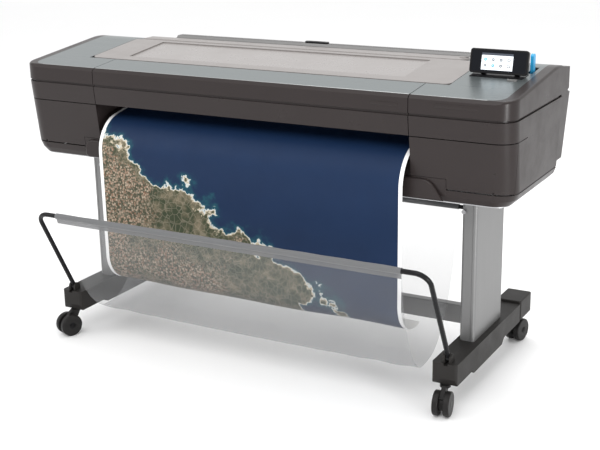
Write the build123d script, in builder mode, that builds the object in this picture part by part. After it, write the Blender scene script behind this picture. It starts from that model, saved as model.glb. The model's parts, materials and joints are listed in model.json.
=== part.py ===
from build123d import *
import os
from math import cos, radians, sin

os.makedirs("parts", exist_ok=True)

# Large format plotter on a wheeled stand.
# Millimetres. X runs to the viewer's right, Y to the back, Z up; the floor is Z = 0
# and X = 0 is the middle of the stand, which the body overhangs more on the left.

# ---- driving dimensions: body -------------------------------------------------
BODY_LEFT = -936.0
BODY_RIGHT = 892.0
BODY_MIDDLE = (BODY_LEFT + BODY_RIGHT) / 2
FRONT_Y = -277.0
BOX_BACK_Y = 176.0
SIDE_BACK_Y = 197.0
SIDE_BACK_LOW_Y = 166.0
REAR_Y = 317.0
REAR_LOW_Y = 285.0
SEAM_LEFT = -623.0
SEAM_RIGHT = 564.0
SEAM_GAP = 1.2
WALL = 4.0

BODY_BOTTOM = 646.0
LIP_MIDDLE = 664.0
LIP_TOP = 684.0
DOOR_BOTTOM = 688.0
DOOR_TOP = 843.2
SEAM_TOP = 846.0
BOX_TOP = 909.0
COVER_BOTTOM = 917.0
GROOVE_INSET = 6.0
BAND_TOP = 962.0
FRONT_LEAN = 28.0
LIP_TUCK = 26.0
CORNER_RADIUS = 60.0

# The crown of the body: a straight rise from the front edge, then a gentle fall.
CROWN_FRONT = (-266.0, 972.0)
CROWN_CREST = (120.0, 1012.0)
CROWN_BACK = (SIDE_BACK_Y, 1009.0)
TOP_PLATE = 2.5
SHOULDER = 37.0
SHOULDER_ROUND = 8.0
STRIP_BACK_Y = -143.0

LID_LEFT = -735.0
LID_RIGHT = 640.0
LID_FRONT_Y = -135.0
LID_BACK_Y = 142.0
LID_THICKNESS = 12.0
LID_HINGE = (136.0, 1005.5)
PANE_LEFT = -600.0
PANE_RIGHT = 470.0
PANE_FRONT_Y = -92.0
PANE_BACK_Y = 118.0

ROLL_COVER_LEFT = -610.0
ROLL_COVER_RIGHT = 577.0
ROLL_COVER_HINGE = (222.0, 1008.0)
ROLL_COVER_TOP = 1020.5
RIM_LEFT = -712.0
RIM_RIGHT = 586.0
RIM_FRONT_Y = 147.0
RIM_BACK_Y = 208.0
RIM_TOP = 1016.0

# ---- driving dimensions: print path --------------------------------------------
MEDIA_WIDTH = 1156.0
MEDIA_LEFT = -596.0
PLATEN_TOP = 818.0
RAIL_Y = 75.0
RAIL_Z = 900.0
PLATE_X = 830.0
RUNNING_GAP = 0.06
ROLL_Y = 240.0
ROLL_Z = 865.0
ROLL_RADIUS = 50.0

# ---- driving dimensions: stand --------------------------------------------------
LEG_INNER_X = 697.0
LEG_OUTER_X = 747.0
LEG_FRONT_Y = -154.0
LEG_BACK_Y = 92.0
FOOT_INNER_X = 685.0
FOOT_OUTER_X = 768.0
FOOT_FRONT_Y = -352.0
FOOT_BACK_Y = 350.0
FOOT_TOP = 165.0
FOOT_BOTTOM = 94.0
TRAY_BOTTOM = 642.0
WHEEL_RADIUS = 40.0
CASTER_TRAIL = 30.0
BAIL_X = 731.0
BAIL_PIVOT = (-328.0, 176.0)
BAIL_BAR = (-493.0, 497.0)
BAIL_ROD = 8.0
CLOTH_HALF = 645.0
REAR_BAR = (-46.0, 575.0)


def save(builder, name):
    """Label one finished piece and write it as its own STEP file."""
    builder.part.label = name
    export_step(builder.part, f"parts/{name}.step")


def block(x0, x1, y0, y1, z0, z1):
    """Plain box between two corners, as a shape that joins nothing by itself."""
    size = (abs(x1 - x0), abs(y1 - y0), abs(z1 - z0))
    centre = ((x0 + x1) / 2, (y0 + y1) / 2, (z0 + z1) / 2)
    return Box(*size, mode=Mode.PRIVATE).moved(Location(centre))


def rod_x(x0, x1, y, z, radius):
    """Round bar along X between two ends, as a shape that joins nothing by itself."""
    bar = Cylinder(radius, abs(x1 - x0), rotation=(0, 90, 0), mode=Mode.PRIVATE)
    return bar.moved(Location(((x0 + x1) / 2, y, z)))


def seam_x(side):
    """X of the seam between an end box and the middle of the body."""
    return SEAM_RIGHT if side > 0 else SEAM_LEFT


def outer_x(side):
    """X of the outer face of the body on one side."""
    return BODY_RIGHT if side > 0 else BODY_LEFT


def front_at(z):
    """Y of the leaning front face below the groove."""
    return FRONT_Y + FRONT_LEAN * (BOX_TOP - z) / (BOX_TOP - LIP_TOP)


# ---- end boxes ---------------------------------------------------------------------
NOSE_ENDS = {-1: -690.0, 1: 674.0}
NOSE_TOP = 714.0
DOOR_BACK_Y = FRONT_Y + CORNER_RADIUS
DOOR_HINGE = (-244.3, 692.5)
DOOR_BARREL = 4.5
DOOR_PIN = 2.0
SIDE_SEAM_END_Y = -138.0
SEAM_WALL_BACK_Y = -112.0


def box_section(side, z, front=FRONT_Y, tuck=0.0, radius=CORNER_RADIUS, back=BOX_BACK_Y, shrink=0.0):
    """Plan section of an end box with its rounded front outer corner."""
    inner = seam_x(side) + side * (SEAM_GAP + shrink)
    outer = outer_x(side) - side * (tuck + shrink)
    front = front + shrink
    with BuildSketch(Plane.XY.offset(z)) as section:
        with Locations(((inner + outer) / 2, (front + back) / 2)):
            Rectangle(abs(outer - inner), back - front)
        corner = section.vertices().group_by(Axis.Y)[0].sort_by(Axis.X)
        fillet(corner[-1 if side > 0 else 0], radius - shrink)
    return section.sketch


def end_box_solid(side, shrink):
    """Filled end box: upright sides, a front that leans back, and a tucked-in lip."""
    reach = 1.0 if shrink else 0.0
    lip_front = FRONT_Y + FRONT_LEAN
    levels = (
        (BOX_TOP + reach, FRONT_Y, 0.0, CORNER_RADIUS, SIDE_BACK_Y),
        (LIP_TOP, lip_front, 0.0, CORNER_RADIUS, SIDE_BACK_LOW_Y),
        (LIP_MIDDLE, lip_front + 3, LIP_TUCK * 0.3, CORNER_RADIUS, SIDE_BACK_LOW_Y),
        (BODY_BOTTOM - reach, lip_front + 12, LIP_TUCK, CORNER_RADIUS - 10, SIDE_BACK_LOW_Y),
    )
    sections = [
        box_section(side, z, front, tuck, radius, back + reach, shrink)
        for z, front, tuck, radius, back in levels
    ]
    with BuildPart() as solid:
        for top, bottom in zip(sections, sections[1:]):
            loft([bottom, top])
    return solid.part


def skin_groove(side, y0, y1, z0, z1):
    """Shallow groove, half a wall deep, round the outside of an end box."""
    with BuildPart() as groove:
        add(end_box_solid(side, 0))
        add(end_box_solid(side, WALL / 2), mode=Mode.SUBTRACT)
        add(block(seam_x(side) + side * 3, outer_x(side) + side, y0, y1, z0, z1), mode=Mode.INTERSECT)
    return groove.part


def notch_end(side):
    """X where the fixed cheek beside the exit nose ends and the door's full height starts."""
    return NOSE_ENDS[side] + side * 6


def door_zone(side, gap, bottom, top):
    """Space of an ink door, which steps round the exit nose and wraps the corner."""
    seam = seam_x(side)
    with BuildPart() as zone:
        add(block(seam + side * gap, outer_x(side) + side * 5, FRONT_Y - 5, DOOR_BACK_Y - gap, bottom, top))
        cheek_top = NOSE_TOP + 5 + gap
        add(block(seam, notch_end(side) + side * gap, FRONT_Y - 6, 0, 600, cheek_top), mode=Mode.SUBTRACT)
    return zone.part


def door_ends(side):
    """X of the inner faces of the two hinge lugs, seam side first."""
    return notch_end(side) + side * 0.6, outer_x(side) - side * (CORNER_RADIUS + 4)


def seam_slab(side, width, clear):
    """Slab beside the seam, from a distance behind the leaning front to mid depth."""
    near = seam_x(side) + side * SEAM_GAP
    with BuildPart() as slab:
        with BuildSketch(Plane.YZ.offset(min(near, near + side * width))):
            with BuildLine():
                Polyline(
                    (front_at(BOX_TOP) + clear, BOX_TOP),
                    (front_at(LIP_TOP) + clear, LIP_TOP - 10),
                    (SEAM_WALL_BACK_Y, LIP_TOP - 10),
                    (SEAM_WALL_BACK_Y, BOX_TOP),
                    close=True,
                )
            make_face()
        extrude(amount=width)
    return slab.part


def hinge_lug(side, end, outward):
    """Lug and pin for one end of an ink door's hinge, standing on the lip."""
    hinge_y, hinge_z = DOOR_HINGE
    with BuildPart() as lug:
        add(block(end, end + outward * 4, hinge_y - 0.5, hinge_y + 9, LIP_TOP - 14, hinge_z + 4))
        add(block(end, end + outward * 4, front_at(LIP_TOP) + 1, hinge_y + 9, LIP_TOP - 14, LIP_TOP - 2))
        add(rod_x(end, end - outward * 7, hinge_y, hinge_z, DOOR_PIN))
    return lug.part


def end_cover(side):
    """Shell of an end box: front, outer side and a wall beside the paper path."""
    seam = seam_x(side)
    rim_front = FRONT_Y + GROOVE_INSET
    with BuildPart() as cover:
        add(end_box_solid(side, 0))
        add(end_box_solid(side, WALL), mode=Mode.SUBTRACT)
        add(
            block(seam, seam + side * 20, SEAM_WALL_BACK_Y, SIDE_BACK_Y + 5, BODY_BOTTOM - 5, BOX_TOP + 5),
            mode=Mode.SUBTRACT,
        )
        add(door_zone(side, 0, LIP_TOP, SEAM_TOP), mode=Mode.SUBTRACT)
        # Wall beside the paper path, clear of the back of the door.
        add(seam_slab(side, WALL, WALL + 1.5))
        # Recessed rim that carries the top cover and makes the dark groove.
        extrude(box_section(side, BOX_TOP - WALL, rim_front, GROOVE_INSET), COVER_BOTTOM - BOX_TOP + WALL)
        hollow_inset = GROOVE_INSET + WALL
        hollow_floor = BOX_TOP - WALL - 1
        hollow_front = FRONT_Y + hollow_inset
        hollow = box_section(side, hollow_floor, hollow_front, hollow_inset, back=BOX_BACK_Y + 1)
        extrude(hollow, COVER_BOTTOM - BOX_TOP + WALL + 2, mode=Mode.SUBTRACT)
        add(
            block(seam, seam + side * 20, SEAM_WALL_BACK_Y, SIDE_BACK_Y + 5, BOX_TOP - 9, COVER_BOTTOM + 3),
            mode=Mode.SUBTRACT,
        )
        # The seams run on past the door along the side as grooves.
        add(skin_groove(side, DOOR_BACK_Y, SIDE_SEAM_END_Y, DOOR_TOP, SEAM_TOP), mode=Mode.SUBTRACT)
        add(skin_groove(side, DOOR_BACK_Y, SIDE_BACK_Y + 5, LIP_TOP, DOOR_BOTTOM), mode=Mode.SUBTRACT)
        for end, outward in zip(door_ends(side), (-side, side)):
            add(hinge_lug(side, end, outward))
    return cover


def ink_door(side):
    """Drop-down door over the lower front and corner of an end box, with a hinge barrel."""
    hinge_y, hinge_z = DOOR_HINGE
    seam_end, corner_end = door_ends(side)
    ends = sorted((seam_end, corner_end))
    with BuildPart() as door:
        add(end_box_solid(side, 0))
        add(end_box_solid(side, WALL), mode=Mode.SUBTRACT)
        add(door_zone(side, SEAM_GAP, DOOR_BOTTOM, DOOR_TOP), mode=Mode.INTERSECT)
        add(seam_slab(side, WALL + 8, WALL + 0.5), mode=Mode.SUBTRACT)
        add(rod_x(ends[0] + 0.6, ends[1] - 0.6, hinge_y, hinge_z, DOOR_BARREL))
        add(rod_x(ends[0], ends[1], hinge_y, hinge_z, DOOR_PIN + RUNNING_GAP), mode=Mode.SUBTRACT)
        # Relief in the bottom edge, so that it swings past the lug at the corner.
        relief_far = corner_end + side * 4.6
        add(
            block(corner_end - side * 0.6, relief_far, -300, hinge_y + 1, LIP_TOP, hinge_z + 1.5),
            mode=Mode.SUBTRACT,
        )
        # Finger lip along the top edge.
        lip_front = front_at(DOOR_TOP) + WALL - 1
        add(block(ends[0] + 60, ends[1] - 60, lip_front, lip_front + 7, DOOR_TOP - 8, DOOR_TOP - 4))
    return door


save(end_cover(-1), "left_end_cover")
save(end_cover(1), "right_end_cover")
save(ink_door(-1), "left_ink_door")
save(ink_door(1), "right_ink_door")


# ---- top covers ---------------------------------------------------------------------
def crown_block(x0, x1, drop):
    """Everything under the crown between two X planes, lowered by drop."""
    with BuildPart() as crown:
        with BuildSketch(Plane.YZ.offset(x0)):
            with BuildLine():
                front = FRONT_Y + drop
                front_edge = (CROWN_FRONT[0] + drop, CROWN_FRONT[1] - drop)
                crest = (CROWN_CREST[0], CROWN_CREST[1] - drop)
                back_edge = (CROWN_BACK[0] - drop, CROWN_BACK[1] - drop)
                slope = (crest[0] - front_edge[0], crest[1] - front_edge[1])
                Line((front, COVER_BOTTOM - drop), (front, BAND_TOP - drop))
                Line((front, BAND_TOP - drop), front_edge)
                Line(front_edge, crest)
                TangentArc(crest, back_edge, tangent=slope)
                Line(back_edge, (back_edge[0], COVER_BOTTOM - drop))
                Line((back_edge[0], COVER_BOTTOM - drop), (front, COVER_BOTTOM - drop))
            make_face()
        extrude(amount=x1 - x0)
    return crown.part


def lid_zone(gap, back_gap):
    """Block over the lid's place in the top; the gaps widen it all round and at the back."""
    return block(LID_LEFT - gap, LID_RIGHT + gap, LID_FRONT_Y - gap, LID_BACK_Y + back_gap, 900, 1100)


POWER_BUTTON = (808.0, -52.0)
LEVER_X = 832.0
LEVER_PIVOT = (70.0, 985.0)
LEVER_SLOT_Y = (38.0, 112.0)


def top_openings(side):
    """Openings through a side cover and its silver plate."""
    with BuildPart() as openings:
        add(lid_zone(2.0, RIM_FRONT_Y - LID_BACK_Y))
        add(rim_zone())
        add(block(LID_LEFT - 2, LID_RIGHT + 2, STRIP_BACK_Y, 0, 960, 1100))
        if side > 0:
            add(block(LEVER_X - 9, LEVER_X + 9, *LEVER_SLOT_Y, 940, 1100))
            x, y = POWER_BUTTON
            add(block(x - 16.2, x + 16.2, y - 5.2, y + 5.2, 940, 1100))
    return openings.part


def rim_zone():
    """Space behind the lid for the raised rim and the roll cover's front edge."""
    return block(RIM_LEFT - 1.5, RIM_RIGHT + 1.5, LID_BACK_Y, SIDE_BACK_Y + 5, 905, 1100)


def plate_zone(side):
    """Plan area of a side's silver plate, inside the dark shoulder."""
    inner = seam_x(side) + side * SEAM_GAP
    outer = outer_x(side) - side * SHOULDER
    with BuildPart() as zone:
        with BuildSketch(Plane.XY.offset(900)) as plan:
            with Locations(((inner + outer) / 2, 0)):
                Rectangle(abs(outer - inner), 2 * -CROWN_FRONT[0] - 8)
            corner = plan.vertices().group_by(Axis.Y)[0].sort_by(Axis.X)
            fillet(corner[-1 if side > 0 else 0], CORNER_RADIUS - 18)
        extrude(amount=200)
    return zone.part


def side_ends(side):
    """X range of a side cover, low to high."""
    return sorted((seam_x(side) + side * SEAM_GAP, outer_x(side)))


def top_plate(side):
    """Silver plate let into the top of a side cover."""
    x0, x1 = side_ends(side)
    with BuildPart() as plate:
        add(crown_block(x0, x1, 0))
        add(crown_block(x0 - 1, x1 + 1, TOP_PLATE), mode=Mode.SUBTRACT)
        add(plate_zone(side), mode=Mode.INTERSECT)
        add(block(x0, x1, -300, 300, 900, CROWN_FRONT[1] - TOP_PLATE), mode=Mode.SUBTRACT)
        add(top_openings(side), mode=Mode.SUBTRACT)
    return plate


def cover_hollow(side):
    """Hollow inside a side cover, one wall in from its faces."""
    x0, x1 = side_ends(side)
    with BuildPart() as hollow:
        add(crown_block(x0 - 1, x1 + 1, WALL + TOP_PLATE))
        inside = box_section(side, 890, back=SIDE_BACK_Y - WALL, shrink=WALL)
        extrude(inside, 200, mode=Mode.INTERSECT)
    return hollow.part


def top_cover(side):
    """Dark side cover: front band, rounded corner, shoulder and back."""
    x0, x1 = side_ends(side)
    with BuildPart() as cover:
        add(crown_block(x0, x1, 0))
        extrude(box_section(side, 900, back=SIDE_BACK_Y), 200, mode=Mode.INTERSECT)
        shoulder = cover.edges().group_by(Axis.X)[-1 if side > 0 else 0].sort_by(Axis.Z)[-1]
        fillet(shoulder, SHOULDER_ROUND)
        add(cover_hollow(side), mode=Mode.SUBTRACT)
        add(top_openings(side), mode=Mode.SUBTRACT)
        add(top_plate(side).part, mode=Mode.SUBTRACT)
        # Hinge pin of the lid.
        lid_end = LID_RIGHT if side > 0 else LID_LEFT
        pin_y, pin_z = LID_HINGE
        add(rod_x(lid_end - side * 12, lid_end + side * 6, pin_y, pin_z, 3.0))
        add(block(lid_end + side * 2, lid_end + side * 6, pin_y - 6, pin_y + 4, pin_z - 6, pin_z + 3))
    return cover


save(top_plate(-1), "left_top_plate")
save(top_plate(1), "right_top_plate")
save(top_cover(-1), "left_top_cover")
save(top_cover(1), "right_top_cover")


# ---- middle of the body -----------------------------------------------------------------
MIDDLE_LEFT = SEAM_LEFT + SEAM_GAP
MIDDLE_RIGHT = SEAM_RIGHT - SEAM_GAP
MIDDLE_WIDTH = MIDDLE_RIGHT - MIDDLE_LEFT
STRIP = block(MIDDLE_LEFT, MIDDLE_RIGHT, CROWN_FRONT[0] + 4, STRIP_BACK_Y, 960, 1100)

with BuildPart() as front_top_plate:
    add(crown_block(MIDDLE_LEFT, MIDDLE_RIGHT, 0))
    add(crown_block(MIDDLE_LEFT - 1, MIDDLE_RIGHT + 1, TOP_PLATE), mode=Mode.SUBTRACT)
    add(STRIP, mode=Mode.INTERSECT)
save(front_top_plate, "front_top_plate")

with BuildPart() as front_top_cover:
    add(crown_block(MIDDLE_LEFT, MIDDLE_RIGHT, 0))
    add(crown_block(MIDDLE_LEFT - 1, MIDDLE_RIGHT + 1, WALL + TOP_PLATE), mode=Mode.SUBTRACT)
    add(block(BODY_LEFT, BODY_RIGHT, STRIP_BACK_Y, 400, 900, 1100), mode=Mode.SUBTRACT)
    add(front_top_plate.part, mode=Mode.SUBTRACT)
save(front_top_cover, "front_top_cover")

FLANGE_DEPTH = 110.0
with BuildPart() as lower_front_cover:
    with BuildSketch(Plane.YZ.offset(MIDDLE_LEFT)):
        with BuildLine():
            low = front_at(SEAM_TOP)
            Polyline(
                (FRONT_Y, BOX_TOP),
                (low, SEAM_TOP),
                (low + FLANGE_DEPTH, SEAM_TOP),
                (low + FLANGE_DEPTH, SEAM_TOP + 3),
                (low + WALL, SEAM_TOP + 3),
                (FRONT_Y + WALL, BOX_TOP - WALL),
                (FRONT_Y + 12, BOX_TOP - WALL),
                (FRONT_Y + 12, COVER_BOTTOM),
                (FRONT_Y + GROOVE_INSET, COVER_BOTTOM),
                (FRONT_Y + GROOVE_INSET, BOX_TOP),
                close=True,
            )
        make_face()
    extrude(amount=MIDDLE_WIDTH)
    along_x = lower_front_cover.edges().filter_by(Axis.X)
    front_edges = along_x.filter_by_position(Axis.Y, FRONT_Y - 1, low + 0.1)
    fillet(front_edges, 1.5)
save(lower_front_cover, "lower_front_cover")

# Exit guide: a chute under the sheet that ends in a rounded nose across the front.
NOSE_FRONT_Y = -262.0
NOSE_BACK_Y = -253.6
NOSE_ROUND = 33.0
CHUTE_TOP = (-108.0, 811.0)
CHUTE_BREAK = (-150.0, 806.0)
CHUTE_LOW = (-242.0, 708.0)


def nose_face():
    """Front view of the exit nose: a round left end and a sloping shoulder at the right."""
    left, right = NOSE_ENDS[-1], NOSE_ENDS[1]
    shoulder = (right - 68, NOSE_TOP)
    slope = (right - 30, NOSE_TOP - 20)
    with BuildSketch(Plane.XZ.offset(-NOSE_BACK_Y)) as outline:
        with BuildLine():
            Line((left + NOSE_ROUND, NOSE_TOP), shoulder)
            TangentArc(shoulder, slope, tangent=(1, 0))
            Line(slope, (right, BODY_BOTTOM + 4))
            Line((right, BODY_BOTTOM + 4), (left + NOSE_ROUND / 2, BODY_BOTTOM + 4))
            TangentArc(
                (left + NOSE_ROUND / 2, BODY_BOTTOM + 4),
                (left, BODY_BOTTOM + 4 + NOSE_ROUND / 2),
                tangent=(-1, 0),
            )
            Line((left, BODY_BOTTOM + 4 + NOSE_ROUND / 2), (left, NOSE_TOP - NOSE_ROUND))
            TangentArc((left, NOSE_TOP - NOSE_ROUND), (left + NOSE_ROUND, NOSE_TOP), tangent=(0, 1))
        make_face()
    return outline.sketch


with BuildPart() as exit_guide:
    with BuildSketch(Plane.YZ.offset(MIDDLE_LEFT)):
        with BuildLine():
            Line(CHUTE_TOP, CHUTE_BREAK)
            TangentArc(CHUTE_BREAK, CHUTE_LOW, tangent=(-1, -0.12))
            Line(CHUTE_LOW, (NOSE_BACK_Y - 1, NOSE_TOP))
            Line((NOSE_BACK_Y - 1, NOSE_TOP), (NOSE_BACK_Y - 1, BODY_BOTTOM + 4))
            Line((NOSE_BACK_Y - 1, BODY_BOTTOM + 4), (NOSE_BACK_Y + 16, BODY_BOTTOM + 4))
            Line((NOSE_BACK_Y + 16, BODY_BOTTOM + 4), (CHUTE_LOW[0] + 5, CHUTE_LOW[1] - 6))
            TangentArc(
                (CHUTE_BREAK[0], CHUTE_BREAK[1] - WALL),
                (CHUTE_LOW[0] + 5, CHUTE_LOW[1] - 6),
                tangent=(-1, -0.12),
            )
            Line((CHUTE_BREAK[0], CHUTE_BREAK[1] - WALL), (CHUTE_TOP[0], CHUTE_TOP[1] - WALL))
            Line((CHUTE_TOP[0], CHUTE_TOP[1] - WALL), CHUTE_TOP)
        make_face()
    extrude(amount=MIDDLE_WIDTH)
    extrude(nose_face(), NOSE_BACK_Y - NOSE_FRONT_Y)
    nose_front = exit_guide.faces().sort_by(Axis.Y)[0]
    fillet(nose_front.edges().filter_by(Axis.X).sort_by(Axis.Z)[-1], 7)
save(exit_guide, "exit_guide")

TRAY_HALF = (BODY_RIGHT - BODY_LEFT) / 2 - LIP_TUCK - 4
TRAY_FRONT_Y = FRONT_Y + FRONT_LEAN + 16
with BuildPart() as base_tray:
    with BuildSketch(Plane.XY.offset(TRAY_BOTTOM)) as tray_plan:
        with Locations((BODY_MIDDLE, (TRAY_FRONT_Y + BOX_BACK_Y) / 2)):
            Rectangle(2 * TRAY_HALF, BOX_BACK_Y - TRAY_FRONT_Y)
        fillet(tray_plan.vertices().group_by(Axis.Y)[0], CORNER_RADIUS - 14)
    extrude(amount=BODY_BOTTOM - TRAY_BOTTOM)
save(base_tray, "base_tray")

# Rear housing: an open-topped trough for the roll, with a shoulder block at each end.
REAR_HALF = (BODY_RIGHT - BODY_LEFT) / 2 - 8
REAR_BOTTOM = 691.0
REAR_TAPER = 8.0
REAR_TOP = BOX_TOP - 2
INLET = (-790.0, 726.0)
POCKET_LEFT = RIM_LEFT - 4
POCKET_FLOOR = 992.0
SHOULDER_BACK_Y = 285.0


def rear_at(z):
    """Y of the leaning back of the rear housing."""
    return REAR_LOW_Y + (REAR_Y - REAR_LOW_Y) * (z - REAR_BOTTOM) / (REAR_TOP - REAR_BOTTOM)


def rear_trough(bottom, shrink):
    """Filled rear trough, narrower at the bottom; shrink draws its ends and back in."""
    front = BOX_BACK_Y + 2 - shrink
    with BuildPart() as trough:
        for height, half in ((bottom, REAR_HALF - REAR_TAPER), (REAR_TOP + shrink, REAR_HALF)):
            back = rear_at(height) - shrink
            with BuildSketch(Plane.XY.offset(height)) as section:
                with Locations((BODY_MIDDLE, (front + back) / 2)):
                    Rectangle(2 * (half - shrink), back - front)
                fillet(section.vertices().group_by(Axis.Y)[-1], 14 - shrink)
        loft()
    return trough.part


def rear_shoulder(x0, x1, top):
    """Upper end piece of the rear housing, sloping down to the back, on a narrower neck."""
    with BuildPart() as shoulder:
        with BuildSketch(Plane.YZ.offset(x0)):
            with BuildLine():
                Polyline(
                    (SIDE_BACK_Y + 2, top),
                    (SHOULDER_BACK_Y, top - 11),
                    (SHOULDER_BACK_Y, COVER_BOTTOM + 6),
                    (SHOULDER_BACK_Y - 12, COVER_BOTTOM + 2),
                    (SHOULDER_BACK_Y - 12, REAR_TOP - 6),
                    (SIDE_BACK_Y + 8, REAR_TOP - 6),
                    (SIDE_BACK_Y + 8, COVER_BOTTOM + 2),
                    (SIDE_BACK_Y + 2, COVER_BOTTOM + 2),
                    close=True,
                )
            make_face()
        extrude(amount=x1 - x0)
    return shoulder.part


with BuildPart() as rear_housing:
    add(rear_trough(REAR_BOTTOM, 0))
    add(rear_trough(REAR_BOTTOM + WALL, WALL), mode=Mode.SUBTRACT)
    add(rear_shoulder(BODY_LEFT + 5, POCKET_LEFT, CROWN_BACK[1] - 5))
    add(rear_shoulder(POCKET_LEFT, ROLL_COVER_LEFT - 12, POCKET_FLOOR))
    add(rear_shoulder(ROLL_COVER_RIGHT + 12, BODY_RIGHT - 5, CROWN_BACK[1] - 5))
    # Slot that lets the paper through to the platen.
    add(
        block(MEDIA_LEFT - 12, MEDIA_LEFT + MEDIA_WIDTH + 12, BOX_BACK_Y, BOX_BACK_Y + 8, 812, 832),
        mode=Mode.SUBTRACT,
    )
    x, z = INLET
    add(block(x - 26, x + 26, rear_at(z) - 10, rear_at(z) + 10, z - 16, z + 16), mode=Mode.SUBTRACT)
save(rear_housing, "rear_housing")

# Raised rim behind the lid: its foot stands on the trough, its lugs carry the roll cover.
LUG_LENGTH = 6.0
with BuildPart() as rear_rim:
    with BuildSketch(Plane.XY.offset(RIM_TOP - 22)) as rim_plan:
        with Locations(((RIM_LEFT + RIM_RIGHT) / 2, (RIM_FRONT_Y + RIM_BACK_Y) / 2)):
            Rectangle(RIM_RIGHT - RIM_LEFT, RIM_BACK_Y - RIM_FRONT_Y)
        fillet(rim_plan.vertices().group_by(Axis.Y)[0].sort_by(Axis.X)[-1], 34)
    extrude(amount=22)
    fillet(rear_rim.faces().sort_by(Axis.Z)[-1].edges(), 5)
    add(block(MIDDLE_LEFT, MIDDLE_RIGHT, BOX_BACK_Y + 2, BOX_BACK_Y + 5, REAR_TOP, RIM_TOP - 20))
    for end, outward in ((ROLL_COVER_LEFT, -1), (ROLL_COVER_RIGHT, 1)):
        start = end + outward
        hinge_y, hinge_z = ROLL_COVER_HINGE
        add(block(start, start + outward * LUG_LENGTH, RIM_BACK_Y - 8, hinge_y + 5, hinge_z - 6, hinge_z + 5))
        add(rod_x(start, end - outward * 11, hinge_y, hinge_z, 3.0))
save(rear_rim, "rear_rim")

with BuildPart() as power_inlet:
    x, z = INLET
    face = rear_at(z) + 3
    add(block(x - 25.8, x + 25.8, face - 25, face, z - 15.8, z + 15.8))
    add(block(x - 14, x + 14, face - 18, face + 5, z - 10, z + 10), mode=Mode.SUBTRACT)
    for blade_x in (-7, 0, 7):
        add(block(x + blade_x - 1, x + blade_x + 1, face - 19, face - 4, z - 3, z + 3))
save(power_inlet, "power_inlet")

# ---- lid with its window, and the roll cover -----------------------------------------------
with BuildPart() as window_frame:
    add(crown_block(LID_LEFT, LID_RIGHT, 0))
    add(crown_block(LID_LEFT - 1, LID_RIGHT + 1, LID_THICKNESS), mode=Mode.SUBTRACT)
    add(lid_zone(0, 0), mode=Mode.INTERSECT)
    upright = window_frame.edges().filter_by(Axis.Z).group_by(Axis.Y)[0]
    fillet(upright, 24)
    add(rod_x(LID_LEFT, LID_RIGHT, *LID_HINGE, 5.5))
    add(block(PANE_LEFT, PANE_RIGHT, PANE_FRONT_Y, PANE_BACK_Y, 970, 1100), mode=Mode.SUBTRACT)
    for end, inward in ((LID_LEFT, 1), (LID_RIGHT, -1)):
        add(rod_x(end - inward, end + inward * 14, *LID_HINGE, 3.0 + RUNNING_GAP), mode=Mode.SUBTRACT)
save(window_frame, "window_frame")

with BuildPart() as window_pane:
    add(crown_block(PANE_LEFT, PANE_RIGHT, 4))
    add(crown_block(PANE_LEFT - 1, PANE_RIGHT + 1, 8), mode=Mode.SUBTRACT)
    add(block(PANE_LEFT, PANE_RIGHT, PANE_FRONT_Y, PANE_BACK_Y, 900, 1100), mode=Mode.INTERSECT)
save(window_pane, "window_pane")

HINGE_Y, HINGE_Z = ROLL_COVER_HINGE
ROLL_COVER_FLAT_Y = (230.0, 254.0)
with BuildPart() as roll_cover:
    with BuildSketch(Plane.YZ.offset(ROLL_COVER_LEFT)):
        with BuildLine() as cover_path:
            flat_start, flat_end = [(y, ROLL_COVER_TOP) for y in ROLL_COVER_FLAT_Y]
            drop = (REAR_Y - 3, ROLL_COVER_TOP - 56)
            Line((HINGE_Y, HINGE_Z + 5), flat_start)
            Line(flat_start, flat_end)
            TangentArc(flat_end, drop, tangent=(1, 0))
            Line(drop, (REAR_Y - 3, COVER_BOTTOM - 4))
        trace(cover_path.wires()[0].edges(), 3)
    extrude(amount=ROLL_COVER_RIGHT - ROLL_COVER_LEFT)
    add(rod_x(ROLL_COVER_LEFT, ROLL_COVER_RIGHT, HINGE_Y, HINGE_Z, 5.0))
    for end, inward in ((ROLL_COVER_LEFT, 1), (ROLL_COVER_RIGHT, -1)):
        add(rod_x(end - inward, end + inward * 14, HINGE_Y, HINGE_Z, 3.0 + RUNNING_GAP), mode=Mode.SUBTRACT)
save(roll_cover, "roll_cover")

LATCH_X = -20.0
LATCH_HALF = 46.0
with BuildPart() as roll_cover_latch:
    latch_bottom = ROLL_COVER_TOP + 1.6
    add(block(LATCH_X - LATCH_HALF, LATCH_X + LATCH_HALF, 234, 254, latch_bottom, latch_bottom + 6))
    fillet(roll_cover_latch.edges().filter_by(Axis.Z), 7)
    grip = LATCH_HALF - 14
    add(
        block(LATCH_X - grip, LATCH_X + grip, 239, 247, latch_bottom + 3, latch_bottom + 7),
        mode=Mode.SUBTRACT,
    )
save(roll_cover_latch, "roll_cover_latch")

# ---- control panel, button and lever ----------------------------------------------------------
DISPLAY_LEFT = 655.0
DISPLAY_RIGHT = 843.0
DISPLAY_WIDTH = DISPLAY_RIGHT - DISPLAY_LEFT
DISPLAY_FOOT = (-10.0, 1012.0)
DISPLAY_LEAN = 12.0
DISPLAY_LOW = -8.0
DISPLAY_HIGH = 68.0
DISPLAY_MIDDLE = (DISPLAY_LOW + DISPLAY_HIGH) / 2
DISPLAY_HINGE = (8.0, 1017.0)
EAR_X = (DISPLAY_LEFT + 40, DISPLAY_RIGHT - 40)
EAR_HALF = 7.0
display_plane = Plane(
    origin=((DISPLAY_LEFT + DISPLAY_RIGHT) / 2, *DISPLAY_FOOT),
    x_dir=(1, 0, 0),
    z_dir=(0, -cos(radians(DISPLAY_LEAN)), sin(radians(DISPLAY_LEAN))),
)

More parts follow.
